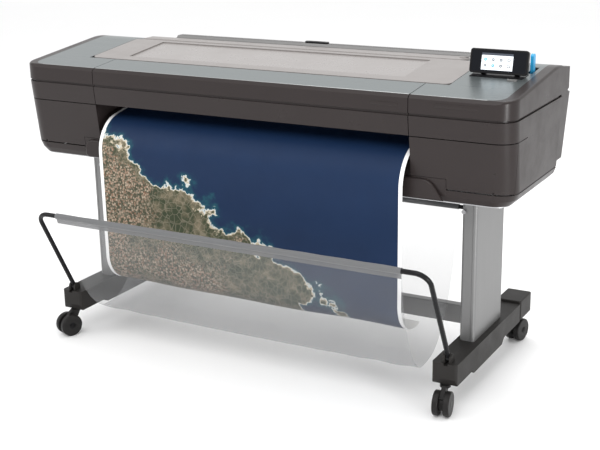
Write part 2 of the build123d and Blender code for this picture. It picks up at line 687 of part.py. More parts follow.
with BuildPart() as display_mount:
    with BuildSketch(Plane.YZ.offset(DISPLAY_LEFT + 8)):
        with BuildLine():
            Polyline((-34, 998), (24, 1004), (24, 996), (-34, 990), close=True)
        make_face()
    extrude(amount=DISPLAY_WIDTH - 16)
    hinge_y, hinge_z = DISPLAY_HINGE
    for ear in EAR_X:
        add(block(ear - EAR_HALF, ear + EAR_HALF, hinge_y - 5, hinge_y + 7, 998, hinge_z))
        add(rod_x(ear - EAR_HALF, ear + EAR_HALF, *DISPLAY_HINGE, 5.0))
        add(rod_x(ear - EAR_HALF - 8, ear + EAR_HALF + 8, *DISPLAY_HINGE, 2.5))
    add(crown_block(600, 900, 0), mode=Mode.SUBTRACT)
save(display_mount, "display_mount")

with BuildPart() as display_housing:
    with BuildSketch(display_plane.offset(7)):
        with Locations((0, DISPLAY_MIDDLE)):
            RectangleRounded(DISPLAY_WIDTH, DISPLAY_HIGH - DISPLAY_LOW, 9)
    extrude(amount=-16, taper=4)
    fillet(display_housing.faces().sort_by(Axis.Y)[0].edges(), 2)
    with BuildSketch(display_plane.offset(7)):
        with Locations((0, DISPLAY_MIDDLE)):
            RectangleRounded(DISPLAY_WIDTH - 12, DISPLAY_HIGH - DISPLAY_LOW - 12, 5)
    extrude(amount=-2, mode=Mode.SUBTRACT)
    for ear in EAR_X:
        for direction in (-1, 1):
            start = ear + direction * (EAR_HALF + 0.4)
            end = start + direction * 12
            add(block(start, end, -3, DISPLAY_HINGE[0], DISPLAY_HINGE[1] - 5, DISPLAY_HINGE[1] + 5))
            add(rod_x(start, end, *DISPLAY_HINGE, 5.0))
            add(
                rod_x(start - direction, start + direction * 9, *DISPLAY_HINGE, 2.5 + RUNNING_GAP),
                mode=Mode.SUBTRACT,
            )
save(display_housing, "display_housing")

with BuildPart() as display_screen:
    with BuildSketch(display_plane.offset(5)):
        with Locations((0, DISPLAY_MIDDLE)):
            RectangleRounded(DISPLAY_WIDTH - 12, DISPLAY_HIGH - DISPLAY_LOW - 12, 5)
    extrude(amount=1.4)
save(display_screen, "display_screen")

with BuildPart() as power_button:
    with BuildSketch(Plane.XY.offset(985)):
        with Locations(POWER_BUTTON):
            SlotOverall(32, 10)
    extrude(amount=13)
    with BuildSketch(Plane.XY.offset(978)):
        with Locations(POWER_BUTTON):
            Rectangle(40, 18)
    extrude(amount=7)
save(power_button, "power_button")

LEVER_Y, LEVER_Z = LEVER_PIVOT
with BuildPart() as load_lever:
    with BuildSketch(Plane.YZ.offset(LEVER_X - 5)):
        with Locations((LEVER_Y, LEVER_Z)):
            Circle(12)
        with Locations((LEVER_Y, LEVER_Z + 33)):
            SlotOverall(86, 20, rotation=90)
        with Locations((LEVER_Y, LEVER_Z)):
            Circle(5 + RUNNING_GAP, mode=Mode.SUBTRACT)
    extrude(amount=10)
save(load_lever, "load_lever")

# ---- chassis and print engine ---------------------------------------------------------------------
BEAM_Y = (118.0, 163.0)
BEAM_Z = (680.0, 805.0)
with BuildPart() as side_plates:
    for side in (-1, 1):
        plate_x = side * PLATE_X
        add(block(plate_x, plate_x + side * 3, -100, 165, BODY_BOTTOM, 955))
        with Locations((plate_x, -40, 800)):
            Cylinder(30, 20, rotation=(0, 90, 0), mode=Mode.SUBTRACT)
    # Pivot pin of the load lever, on a bracket above the right plate.
    add(block(PLATE_X + 10, PLATE_X + 13, LEVER_Y - 12, LEVER_Y + 12, 940, LEVER_Z + 10))
    add(block(PLATE_X, PLATE_X + 13, LEVER_Y - 12, LEVER_Y + 12, 940, 943))
    add(rod_x(LEVER_X - 8, PLATE_X + 13, LEVER_Y, LEVER_Z, 5.0))
save(side_plates, "side_plates")

with BuildPart() as main_beam:
    add(block(-PLATE_X, PLATE_X, *BEAM_Y, *BEAM_Z))
    add(
        block(-PLATE_X - 1, PLATE_X + 1, BEAM_Y[0] + 3, BEAM_Y[1] - 3, BEAM_Z[0] + 3, BEAM_Z[1] - 3),
        mode=Mode.SUBTRACT,
    )
save(main_beam, "main_beam")

# The rail, and the thin strip that the carriage reads its position from.
with BuildPart() as scan_rail:
    add(rod_x(-PLATE_X, PLATE_X, RAIL_Y, RAIL_Z, 10.0))
    add(block(-PLATE_X, PLATE_X, -88, -87, 930, 942))
save(scan_rail, "scan_rail")

with BuildPart() as platen:
    add(block(-620, 562, -105, 42, PLATEN_TOP - 20, PLATEN_TOP))
    with GridLocations(58, 1, 20, 1):
        with Locations((-29, -30, PLATEN_TOP)):
            Box(50, 70, 2, mode=Mode.SUBTRACT)
save(platen, "platen")

ROLLER = (64.0, 802.0)
ROLLER_RADIUS = 18.0
PINCH_RADIUS = 7.0
PINCH_Z = ROLLER[1] + ROLLER_RADIUS + 3.4 + PINCH_RADIUS
with BuildPart() as drive_roller:
    add(rod_x(-618, 560, *ROLLER, ROLLER_RADIUS))
    add(rod_x(-PLATE_X + 0.5, PLATE_X - 0.5, *ROLLER, 6.0))
save(drive_roller, "drive_roller")

with BuildPart() as pinch_rollers:
    add(rod_x(-PLATE_X + 0.5, PLATE_X - 0.5, ROLLER[0], PINCH_Z, 3.0))
    for index in range(12):
        start = -590 + index * 96
        add(rod_x(start, start + 40, ROLLER[0], PINCH_Z, PINCH_RADIUS))
save(pinch_rollers, "pinch_rollers")

CARRIAGE_X = 700.0
CARRIAGE_HALF = 62.0
with BuildPart() as carriage:
    x0, x1 = CARRIAGE_X - CARRIAGE_HALF, CARRIAGE_X + CARRIAGE_HALF
    add(block(x0, x1, -80, 95, 850, 925))
    add(block(x0 + 6, x1 - 6, -74, 40, 925, 952))
    add(block(x0 - 1, x1 + 1, 44, 60, 925, 960), mode=Mode.SUBTRACT)
    fillet(carriage.edges().filter_by(Axis.Z).group_by(Axis.Y)[0], 8)
    add(rod_x(x0 - 1, x1 + 1, RAIL_Y, RAIL_Z, 10.0 + RUNNING_GAP), mode=Mode.SUBTRACT)
save(carriage, "carriage")

with BuildPart() as printheads:
    for row in range(3):
        head_y = -58 + row * 34
        add(block(CARRIAGE_X - 45, CARRIAGE_X + 45, head_y, head_y + 22, 825, 850))
save(printheads, "printheads")

BELT_Y = (104.0, 112.0)
BELT_Z = 925.0
PULLEY_X = 800.0
PULLEY_RADIUS = 12.0
with BuildPart() as carriage_belt:
    with BuildSketch(Plane.XZ.offset(-BELT_Y[1])):
        with Locations((0, BELT_Z)):
            SlotCenterToCenter(2 * PULLEY_X, 2 * PULLEY_RADIUS + 3)
            SlotCenterToCenter(2 * PULLEY_X, 2 * PULLEY_RADIUS, mode=Mode.SUBTRACT)
    extrude(amount=BELT_Y[1] - BELT_Y[0])
save(carriage_belt, "carriage_belt")

with BuildPart() as belt_pulleys:
    for side in (-1, 1):
        with BuildSketch(Plane.XZ.offset(-BELT_Y[1])):
            with Locations((side * PULLEY_X, BELT_Z)):
                Circle(PULLEY_RADIUS)
        extrude(amount=BELT_Y[1] - BELT_Y[0])
        with BuildSketch(Plane.XZ.offset(-160)):
            with Locations((side * PULLEY_X, BELT_Z)):
                Circle(21 if side > 0 else 8)
        extrude(amount=160 - BELT_Y[1] - 2)
        with BuildSketch(Plane.XZ.offset(-BELT_Y[1] - 2)):
            with Locations((side * PULLEY_X, BELT_Z)):
                Circle(4)
        extrude(amount=2)
save(belt_pulleys, "belt_pulleys")

with BuildPart() as service_station:
    add(block(626, 800, -95, 45, 700, 812))
    with GridLocations(1, 34, 1, 3):
        with Locations((CARRIAGE_X, -13, 812)):
            Box(96, 24, 24, mode=Mode.SUBTRACT)
save(service_station, "service_station")

with BuildPart() as electronics_box:
    add(block(-815, -645, -60, 105, 686, 786))
    with Locations((-730, 22, 786)):
        Cylinder(34, 8, mode=Mode.SUBTRACT)
save(electronics_box, "electronics_box")

with BuildPart() as ink_cartridges:
    for side in (-1, 1):
        for index in range(4):
            start = seam_x(side) + side * (36 + index * 44)
            add(block(start, start + side * 36, -210, -120, 704, 824))
save(ink_cartridges, "ink_cartridges")

with BuildPart() as spindle:
    add(rod_x(-664, 664, ROLL_Y, ROLL_Z, 12.0))
    for hub_x in (MEDIA_LEFT - 14, MEDIA_LEFT + MEDIA_WIDTH + 2):
        add(rod_x(hub_x, hub_x + 12, ROLL_Y, ROLL_Z, 52.0))
save(spindle, "spindle")

with BuildPart() as paper_roll:
    add(rod_x(MEDIA_LEFT, MEDIA_LEFT + MEDIA_WIDTH, ROLL_Y, ROLL_Z, ROLL_RADIUS))
    add(rod_x(MEDIA_LEFT, MEDIA_LEFT + MEDIA_WIDTH, ROLL_Y, ROLL_Z, 12.0), mode=Mode.SUBTRACT)
save(paper_roll, "paper_roll")

with BuildPart() as spindle_supports:
    for start in (-640, 620):
        floor = REAR_BOTTOM + WALL
        add(block(start, start + 20, ROLL_Y - 26, ROLL_Y + 26, floor, ROLL_Z + 30))
        add(
            block(start - 1, start + 21, ROLL_Y - 12.06, ROLL_Y + 12.06, ROLL_Z, ROLL_Z + 40),
            mode=Mode.SUBTRACT,
        )
        add(rod_x(start - 1, start + 21, ROLL_Y, ROLL_Z, 12.0 + RUNNING_GAP), mode=Mode.SUBTRACT)
save(spindle_supports, "spindle_supports")

# ---- printed sheet -------------------------------------------------------------------------------------
SHEET_TOP = (-98.0, PLATEN_TOP + 3)
SHEET_BEND = (-200.0, 803.0)
SHEET_HANG = (-302.0, 680.0)
SHEET_TURN_Z = 305.0
SHEET_TAIL_RADIUS = 112.0
SHEET_TAIL_ANGLE = radians(20)

with BuildPart() as printed_sheet:
    with BuildSketch(Plane.YZ.offset(MEDIA_LEFT)):
        with BuildLine() as sheet_path:
            Line(SHEET_TOP, SHEET_BEND)
            lead = (SHEET_BEND[0] - SHEET_TOP[0], SHEET_BEND[1] - SHEET_TOP[1])
            TangentArc(SHEET_BEND, SHEET_HANG, tangent=lead)
            turn = (SHEET_HANG[0], SHEET_TURN_Z)
            Line(SHEET_HANG, turn)
            tail = (
                turn[0] + SHEET_TAIL_RADIUS * (1 + sin(SHEET_TAIL_ANGLE)),
                turn[1] - SHEET_TAIL_RADIUS * cos(SHEET_TAIL_ANGLE),
            )
            TangentArc(turn, tail, tangent=(0, -1))
        trace(sheet_path.wires()[0].edges(), 1.5)
    extrude(amount=MEDIA_WIDTH)
save(printed_sheet, "printed_sheet")

# ---- stand ---------------------------------------------------------------------------------------
def leg(side):
    """Upright column: a rectangular tube with a rounded front outer edge."""
    middle = side * (LEG_INNER_X + LEG_OUTER_X) / 2
    depth = LEG_BACK_Y - LEG_FRONT_Y
    with BuildPart() as column:
        with BuildSketch(Plane.XY.offset(FOOT_TOP)) as section:
            with Locations((middle, (LEG_FRONT_Y + LEG_BACK_Y) / 2)):
                Rectangle(LEG_OUTER_X - LEG_INNER_X, depth)
            corners = section.vertices().group_by(Axis.Y)[0]
            fillet(corners, 9)
            with Locations((middle, (LEG_FRONT_Y + LEG_BACK_Y) / 2)):
                Rectangle(LEG_OUTER_X - LEG_INNER_X - 8, depth - 24, mode=Mode.SUBTRACT)
        extrude(amount=TRAY_BOTTOM - FOOT_TOP)
        # Shallow groove beside the rounded edge.
        groove_x = side * (LEG_OUTER_X - 13)
        add(
            block(groove_x - 1, groove_x + 1, LEG_FRONT_Y - 1, LEG_FRONT_Y + 1.2, FOOT_TOP, TRAY_BOTTOM),
            mode=Mode.SUBTRACT,
        )
    return column


CASTER_FRONT_Y = -338.0
CASTER_BACK_Y = 288.0
FOOT_MIDDLE_X = (FOOT_INNER_X + FOOT_OUTER_X) / 2
STEM_RADIUS = 6.0
STEM_TOP = 132.0
CAP_FRONT_Y = 236.0


def foot(side):
    """Long foot with a chamfered nose, a deeper middle and a clevis for the bail."""
    middle = side * FOOT_MIDDLE_X
    width = FOOT_OUTER_X - FOOT_INNER_X
    with BuildPart() as beam:
        with BuildSketch(Plane.YZ.offset(middle - width / 2)):
            with BuildLine():
                Polyline(
                    (FOOT_FRONT_Y, FOOT_TOP),
                    (FOOT_FRONT_Y, FOOT_BOTTOM + 20),
                    (FOOT_FRONT_Y + 8, FOOT_BOTTOM),
                    (-210, FOOT_BOTTOM),
                    (-200, FOOT_BOTTOM - 12),
                    (60, FOOT_BOTTOM - 12),
                    (76, FOOT_BOTTOM + 6),
                    (FOOT_BACK_Y - 6, FOOT_BOTTOM + 6),
                    (FOOT_BACK_Y - 6, FOOT_TOP),
                    close=True,
                )
            make_face()
        extrude(amount=width)
        fillet(beam.edges().filter_by(Axis.Z).group_by(Axis.Y)[0], 10)
        # Stepped-down tail that the end cap fits over.
        for flank in (-1, 1):
            flank_x = middle + flank * (width / 2 - 4)
            add(block(flank_x, flank_x + flank * 20, CAP_FRONT_Y, FOOT_BACK_Y, 60, 200), mode=Mode.SUBTRACT)
        add(block(middle - 60, middle + 60, CAP_FRONT_Y, FOOT_BACK_Y, FOOT_TOP - 4, 200), mode=Mode.SUBTRACT)
        # Clevis ears and slot for the bail.
        pivot_y, pivot_z = BAIL_PIVOT
        for ear in (-1, 1):
            ear_x = side * BAIL_X + ear * 7
            add(rod_x(ear_x, ear_x + ear * 7, pivot_y, pivot_z, 15.0))
            add(block(ear_x, ear_x + ear * 7, pivot_y - 15, pivot_y + 15, FOOT_TOP - 5, pivot_z))
        slot_x = side * BAIL_X
        add(block(slot_x - 7, slot_x + 7, FOOT_FRONT_Y - 1, pivot_y + 16, 158, 220), mode=Mode.SUBTRACT)
        add(rod_x(slot_x - 8, slot_x + 8, pivot_y, pivot_z, 5.0))
        for stem_y in (CASTER_FRONT_Y, CASTER_BACK_Y):
            with Locations((middle, stem_y, 60)):
                Cylinder(
                    STEM_RADIUS + RUNNING_GAP,
                    STEM_TOP - 60 + 1,
                    align=(Align.CENTER, Align.CENTER, Align.MIN),
                    mode=Mode.SUBTRACT,
                )
    return beam


for side, name in ((-1, "left"), (1, "right")):
    save(leg(side), f"{name}_leg")
    save(foot(side), f"{name}_foot")

with BuildPart() as foot_end_caps:
    for side in (-1, 1):
        middle = side * FOOT_MIDDLE_X
        add(block(middle - 43.5, middle + 43.5, CAP_FRONT_Y + 0.5, FOOT_BACK_Y + 2, FOOT_BOTTOM + 12, 174))
    fillet(foot_end_caps.edges().filter_by(Axis.Z), 8)
    fillet(foot_end_caps.faces().sort_by(Axis.Z)[-2:].edges(), 4)
    for side in (-1, 1):
        middle = side * FOOT_MIDDLE_X
        add(
            block(middle - 38, middle + 38, CAP_FRONT_Y - 1, FOOT_BACK_Y - 5, 60, FOOT_TOP - 3),
            mode=Mode.SUBTRACT,
        )
save(foot_end_caps, "foot_end_caps")

with BuildPart() as cross_brace:
    add(block(-LEG_INNER_X, LEG_INNER_X, -30, 2, 168, 232))
    fillet(cross_brace.edges().filter_by(Axis.X), 4)
    add(block(-LEG_INNER_X, LEG_INNER_X, -27, -1, 171, 229), mode=Mode.SUBTRACT)
save(cross_brace, "cross_brace")

with BuildPart() as basket_rear_bar:
    add(rod_x(-LEG_INNER_X, LEG_INNER_X, *REAR_BAR, 7.0))
save(basket_rear_bar, "basket_rear_bar")

with BuildPart() as stand_fasteners:
    for side in (-1, 1):
        add(rod_x(side * LEG_OUTER_X, side * (LEG_OUTER_X + 3), -118, 612, 6))
        add(rod_x(side * LEG_OUTER_X, side * (LEG_OUTER_X + 3), 58, 612, 6))
        with Locations((side * (LEG_INNER_X + 8), LEG_FRONT_Y - 5, 596)):
            Cylinder(7, 10, rotation=(90, 0, 0))
save(stand_fasteners, "stand_fasteners")

# ---- basket --------------------------------------------------------------------------------------
BAIL_BEND = 45.0
bail_rise = (BAIL_BAR[0] - BAIL_PIVOT[0], BAIL_BAR[1] - BAIL_PIVOT[1])
BAIL_LENGTH = (bail_rise[0] ** 2 + bail_rise[1] ** 2) ** 0.5
bail_plane = Plane(
    origin=(0, *BAIL_PIVOT),
    x_dir=(1, 0, 0),
    z_dir=(0, -bail_rise[1] / BAIL_LENGTH, bail_rise[0] / BAIL_LENGTH),
)
with BuildPart() as basket_bail:
    with BuildLine(bail_plane) as bail_path:
        FilletPolyline(
            (-BAIL_X, 0),
            (-BAIL_X, BAIL_LENGTH),
            (BAIL_X, BAIL_LENGTH),
            (BAIL_X, 0),
            radius=BAIL_BEND,
        )
    with BuildSketch(Plane(origin=bail_path.line @ 0, z_dir=bail_path.line % 0)):
        Circle(BAIL_ROD)
    sweep()
    for side in (-1, 1):
        eye = side * BAIL_X
        add(rod_x(eye - 12, eye - 5, *BAIL_PIVOT, 19.0), mode=Mode.SUBTRACT)
        add(rod_x(eye + 5, eye + 12, *BAIL_PIVOT, 19.0), mode=Mode.SUBTRACT)
        add(rod_x(eye - 5, eye + 5, *BAIL_PIVOT, 11.0))
        add(rod_x(eye - 6, eye + 6, *BAIL_PIVOT, 5.0 + RUNNING_GAP), mode=Mode.SUBTRACT)
save(basket_bail, "basket_bail")

with BuildPart() as basket_cloth:
    with BuildSketch(Plane.YZ.offset(-CLOTH_HALF)):
        with BuildLine() as cloth_path:
            Spline(
                (-486, 482),
                (-442, 310),
                (-386, 190),
                (-290, 108),
                (-190, 130),
                (-108, 225),
                (-62, 380),
                (REAR_BAR[0] - 1, REAR_BAR[1] - 10),
            )
        trace(cloth_path.wires()[0].edges(), 2.0)
    extrude(amount=2 * CLOTH_HALF)
save(basket_cloth, "basket_cloth")

# ---- casters -------------------------------------------------------------------------------------
def caster(stem_x, stem_y, heading):
    """Twin-wheel caster: fork and wheels, trailing towards heading (degrees from +X)."""
    trail_way = Vector(1, 0, 0).rotate(Axis.Z, heading)
    axle_way = Vector(0, -1, 0).rotate(Axis.Z, heading)
    middle = Plane(origin=(stem_x, stem_y, 0), x_dir=trail_way, z_dir=axle_way)
    with BuildPart() as fork:
        with BuildSketch(middle.offset(-7)):
            with BuildLine():
                Polyline(
                    (-17, 91),
                    (17, 91),
                    (CASTER_TRAIL + 20, 62),
                    (CASTER_TRAIL, 26),
                    (-6, 66),
                    close=True,
                )
            make_face()
            with Locations((CASTER_TRAIL, WHEEL_RADIUS)):
                Circle(24)
                Circle(5 + RUNNING_GAP, mode=Mode.SUBTRACT)
        extrude(amount=14)
        with BuildSketch(Plane.XY.offset(84)):
            with Locations((stem_x, stem_y)):
                Circle(17)
        extrude(amount=7.5)
        with BuildSketch(Plane.XY.offset(84)):
            with Locations((stem_x, stem_y)):
                Circle(STEM_RADIUS)
        extrude(amount=STEM_TOP - 84)
    with BuildPart() as wheels:
        for face in (-27, 8):
            with BuildSketch(middle.offset(face)):
                with Locations((CASTER_TRAIL, WHEEL_RADIUS)):
                    Circle(WHEEL_RADIUS)
            extrude(amount=19)
        fillet(wheels.edges().filter_by(GeomType.CIRCLE), 4)
        with BuildSketch(middle.offset(-9)):
            with Locations((CASTER_TRAIL, WHEEL_RADIUS)):
                Circle(5)
        extrude(amount=18)
    return fork, wheels


CASTERS = {
    "front_left": (-FOOT_MIDDLE_X, CASTER_FRONT_Y, -112),
    "front_right": (FOOT_MIDDLE_X, CASTER_FRONT_Y, -82),
    "rear_left": (-FOOT_MIDDLE_X, CASTER_BACK_Y, 95),
    "rear_right": (FOOT_MIDDLE_X, CASTER_BACK_Y, 80),
}
for place, (stem_x, stem_y, heading) in CASTERS.items():
    fork, wheels = caster(stem_x, stem_y, heading)
    save(fork, f"caster_fork_{place}")
    save(wheels, f"caster_wheels_{place}")
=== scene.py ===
import json
import math

import bmesh
import bpy
from mathutils import Matrix, Vector


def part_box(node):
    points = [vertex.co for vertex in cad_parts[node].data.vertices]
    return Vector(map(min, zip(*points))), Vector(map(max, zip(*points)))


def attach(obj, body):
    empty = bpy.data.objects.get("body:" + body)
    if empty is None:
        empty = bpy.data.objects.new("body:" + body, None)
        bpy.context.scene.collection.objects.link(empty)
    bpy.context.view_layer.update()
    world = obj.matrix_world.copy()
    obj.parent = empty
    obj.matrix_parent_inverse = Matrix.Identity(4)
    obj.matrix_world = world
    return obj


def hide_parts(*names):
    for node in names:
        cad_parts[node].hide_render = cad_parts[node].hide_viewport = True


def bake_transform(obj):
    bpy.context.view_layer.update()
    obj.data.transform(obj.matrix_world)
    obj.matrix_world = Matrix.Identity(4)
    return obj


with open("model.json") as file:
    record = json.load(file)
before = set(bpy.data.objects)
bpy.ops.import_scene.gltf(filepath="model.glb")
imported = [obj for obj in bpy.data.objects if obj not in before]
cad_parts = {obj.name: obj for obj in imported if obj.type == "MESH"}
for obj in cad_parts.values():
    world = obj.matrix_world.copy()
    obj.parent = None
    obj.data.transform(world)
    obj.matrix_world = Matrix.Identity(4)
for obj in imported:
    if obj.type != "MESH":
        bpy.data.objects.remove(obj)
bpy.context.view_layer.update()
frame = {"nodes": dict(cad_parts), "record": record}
NODES = frame["nodes"]

# ---- camera -------------------------------------------------------------------------
CAMERA_PLACE = Vector((1.971, -3.462, 1.638))
CAMERA_AIM = Vector((0.033, 0.0, 0.419))
CAMERA_ROLL = math.radians(-1.04)
CAMERA_LENS = 70.75


def make_camera():
    """Camera at the photograph's viewing angle, with its slight roll."""
    data = bpy.data.cameras.new("camera")
    data.lens = CAMERA_LENS
    data.clip_end = 60.0
    camera = bpy.data.objects.new("camera", data)
    bpy.context.scene.collection.objects.link(camera)
    back = (CAMERA_PLACE - CAMERA_AIM).normalized()
    side = Vector((0, 0, 1)).cross(back).normalized()
    up = back.cross(side)
    right = side * math.cos(CAMERA_ROLL) + up * math.sin(CAMERA_ROLL)
    top = back.cross(right)
    turn = Matrix((right, top, back)).transposed()
    camera.matrix_world = Matrix.Translation(CAMERA_PLACE) @ turn.to_4x4()
    bpy.context.scene.camera = camera


make_camera()


# ---- material building blocks ----------------------------------------------------------
class Paint:
    """One node material under construction: its tree and its Principled shader."""

    def __init__(self, name):
        self.material = bpy.data.materials.new(name)
        self.material.use_nodes = True
        self.tree = self.material.node_tree
        self.shader = self.tree.nodes["Principled BSDF"]

    def node(self, kind, **settings):
        """A new node; settings name its properties."""
        made = self.tree.nodes.new("ShaderNode" + kind)
        for key, value in settings.items():
            setattr(made, key, value)
        return made

    def feed(self, socket, value):
        """Link value into socket if it is a socket, or set it if it is a number."""
        if isinstance(value, bpy.types.NodeSocket):
            self.tree.links.new(value, socket)
        else:
            socket.default_value = value

    def place(self, scale=(1, 1, 1), space="Object"):
        """Texture coordinates in the object's own metres, or its UVs, scaled."""
        source = self.node("TexCoord").outputs[space]
        mapping = self.node("Mapping")
        mapping.inputs["Scale"].default_value = scale
        self.feed(mapping.inputs["Vector"], source)
        return mapping.outputs[0]

    def noise(self, place, scale, detail=3.0, rough=0.5):
        texture = self.node("TexNoise")
        self.feed(texture.inputs["Vector"], place)
        texture.inputs["Scale"].default_value = scale
        texture.inputs["Detail"].default_value = detail
        texture.inputs["Roughness"].default_value = rough
        return texture.outputs[0]

    def math(self, operation, a, b=0.0, c=0.0):
        made = self.node("Math", operation=operation)
        for socket, value in zip(made.inputs, (a, b, c)):
            self.feed(socket, value)
        return made.outputs[0]

    def span(self, value, low, high, to_low=0.0, to_high=1.0):
        """value moved from low..high to to_low..to_high, held at the ends."""
        made = self.node("MapRange")
        for socket, given in zip(made.inputs, (value, low, high, to_low, to_high)):
            self.feed(socket, given)
        return made.outputs[0]

    def mix(self, share, a, b):
        """Colour a, turning into colour b as share goes from 0 to 1."""
        made = self.node("Mix", data_type="RGBA")
        self.feed(made.inputs["Factor"], share)
        for name, value in (("A", a), ("B", b)):
            socket = [s for s in made.inputs if s.name == name and s.type == "RGBA"][0]
            self.feed(socket, value if isinstance(value, bpy.types.NodeSocket) else rgba(value))
        return [s for s in made.outputs if s.type == "RGBA"][0]

    def bump(self, height, strength, distance):
        made = self.node("Bump")
        made.inputs["Strength"].default_value = strength
        made.inputs["Distance"].default_value = distance
        self.feed(made.inputs["Height"], height)
        self.feed(self.shader.inputs["Normal"], made.outputs[0])

    def set(self, **values):
        """Set or link sockets of the Principled shader; underscores stand for spaces."""
        for key, value in values.items():
            self.feed(self.shader.inputs[key.replace("_", " ")], value)


def rgba(colour):
    """A colour with alpha 1 added where it has none."""
    return (*colour, 1.0)[:4]


def scaled(colour, share):
    """A colour made lighter or darker."""
    return tuple(channel * share for channel in colour)


def moulded(name, colour, roughness=0.42, grain=0.12, grain_scale=1400.0, spread=0.10, **more):
    """Moulded plastic: fine spark-eroded grain, faint cloudy tone and handling marks."""
    paint = Paint(name)
    place = paint.place()
    cloud = paint.noise(place, 2.5, 4.0, 0.6)
    tone = paint.mix(cloud, scaled(colour, 1 - spread), scaled(colour, 1 + spread))
    dust = paint.span(paint.noise(place, 38.0, 6.0, 0.7), 0.62, 0.80)
    tone = paint.mix(paint.math("MULTIPLY", dust, 0.10), tone, scaled(colour, 1.6))
    paint.set(Base_Color=tone)
    smudge = paint.noise(place, 9.0, 5.0, 0.65)
    paint.set(Roughness=paint.span(smudge, 0.3, 0.75, roughness - 0.06, roughness + 0.09))
    paint.bump(paint.noise(place, grain_scale, 2.0), grain, 0.0004)
    paint.set(**more)
    return paint.material


def brushed(name, colour, roughness=0.34, along="X", metallic=1.0, streak=0.18, **more):
    """Metal or metallic paint with fine streaks along one axis."""
    paint = Paint(name)
    stretch = {"X": (4, 420, 420), "Y": (420, 4, 420), "Z": (420, 420, 4)}[along]
    streaks = paint.noise(paint.place(stretch), 1.0, 4.0, 0.7)
    cloud = paint.noise(paint.place(), 3.0, 3.0)
    tone = paint.mix(streaks, scaled(colour, 1 - streak), scaled(colour, 1 + streak))
    tone = paint.mix(paint.math("MULTIPLY", cloud, 0.25), tone, scaled(colour, 0.86))
    paint.set(Base_Color=tone, Metallic=metallic)
    paint.set(Roughness=paint.span(streaks, 0.25, 0.75, roughness - 0.05, roughness + 0.08))
    paint.bump(streaks, 0.06, 0.0003)
    paint.set(**more)
    return paint.material


# ---- materials ------------------------------------------------------------------------------
DARK = (0.0250, 0.0195, 0.0190)
DULL = {"Specular_IOR_Level": 0.15}
MATERIALS = {
    "dark_body": moulded("dark_body", DARK, 0.32, 0.08, Specular_IOR_Level=0.22),
    "silver_plate": brushed("silver_plate", (0.165, 0.186, 0.190), 0.30, "X", 0.70, 0.10),
    "taupe_lid": moulded("taupe_lid", (0.215, 0.198, 0.191), 0.36, 0.05, 1600.0, 0.03),
    # window: a clear pane drawn as opaque plastic, made a little lighter than the lid as a painted
    # reflection of the white surroundings
    "window": moulded("window", (0.245, 0.228, 0.221), 0.28, 0.0, 1600.0, 0.02),
    "grey_cover": moulded("grey_cover", (0.17, 0.167, 0.165), 0.42, 0.12),
    "black_plastic": moulded("black_plastic", (0.008, 0.008, 0.009), 0.30, 0.05, **DULL),
    "screen": moulded("screen", (0.005, 0.006, 0.009), 0.12, 0.0, 900.0, 0.02, **DULL),
    "blue_lever": moulded("blue_lever", (0.03, 0.33, 0.62), 0.32, 0.06),
    "stand_aluminium": brushed("stand_aluminium", (0.20, 0.20, 0.20), 0.38, "Z", 0.60, 0.07),
    "foot_grey": moulded("foot_grey", (0.020, 0.0185, 0.0175), 0.46, 0.22, 900.0, **DULL),
    "caster_plastic": moulded("caster_plastic", (0.014, 0.0133, 0.013), 0.38, 0.12, **DULL),
    "black_rod": moulded("black_rod", (0.008, 0.008, 0.009), 0.24, 0.03, **DULL),
    "steel": brushed("steel", (0.42, 0.42, 0.43), 0.30, "X", 1.0, 0.12),
    "rubber": moulded("rubber", (0.020, 0.020, 0.020), 0.70, 0.30, 700.0),
    "cartridge": moulded("cartridge", (0.055, 0.056, 0.060), 0.40, 0.10),
    "paper": moulded("paper", (0.80, 0.80, 0.79), 0.65, 0.06, 2200.0, 0.02),
    "mesh_cloth": moulded("mesh_cloth", (0.42, 0.43, 0.44), 0.80, 0.2),
}

for entry in frame["record"]["subparts"]:
    mesh = NODES[entry["node"]].data
    mesh.materials.clear()
    mesh.materials.append(MATERIALS[entry["material_slot"]])


# ---- mesh building blocks -----------------------------------------------------------------------
def mesh_object(name, bm, material, body, smooth=30.0):
    """Turn a bmesh into a named piece with a material, riding on a CAD body."""
    bmesh.ops.recalc_face_normals(bm, faces=bm.faces)
    mesh = bpy.data.meshes.new(name)
    bm.to_mesh(mesh)
    bm.free()
    piece = bpy.data.objects.new(name, mesh)
    bpy.context.scene.collection.objects.link(piece)
    for entry in material if isinstance(material, (list, tuple)) else [material]:
        mesh.materials.append(entry)
    mesh.shade_smooth()
    mesh.set_sharp_from_angle(angle=math.radians(smooth))
    if body:
        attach(piece, body)
    return piece


def smooth_path(points, steps):
    """Points along a Catmull-Rom curve through the given points."""
    vectors = [Vector(p) for p in points]
    padded = [2 * vectors[0] - vectors[1], *vectors, 2 * vectors[-1] - vectors[-2]]
    path = []
    for a, b, c, d in zip(padded, padded[1:], padded[2:], padded[3:]):
        for step in range(steps):
            t = step / steps
            path.append(
                0.5 * (2 * b + (c - a) * t
                       + (2 * a - 5 * b + 4 * c - d) * t ** 2
                       + (3 * b - a - 3 * c + d) * t ** 3)
            )
    path.append(vectors[-1])
    return path


def even_path(path, count):
    """The same path resampled at count + 1 evenly spaced points, and its length."""
    lengths = [0.0]
    for a, b in zip(path, path[1:]):
        lengths.append(lengths[-1] + (b - a).length)
    total, at, even = lengths[-1], 0, []
    for index in range(count + 1):
        want = total * index / count
        while at < len(path) - 2 and lengths[at + 1] < want:
            at += 1
        gap = lengths[at + 1] - lengths[at]
        even.append(path[at].lerp(path[at + 1], (want - lengths[at]) / gap))
    return even, total


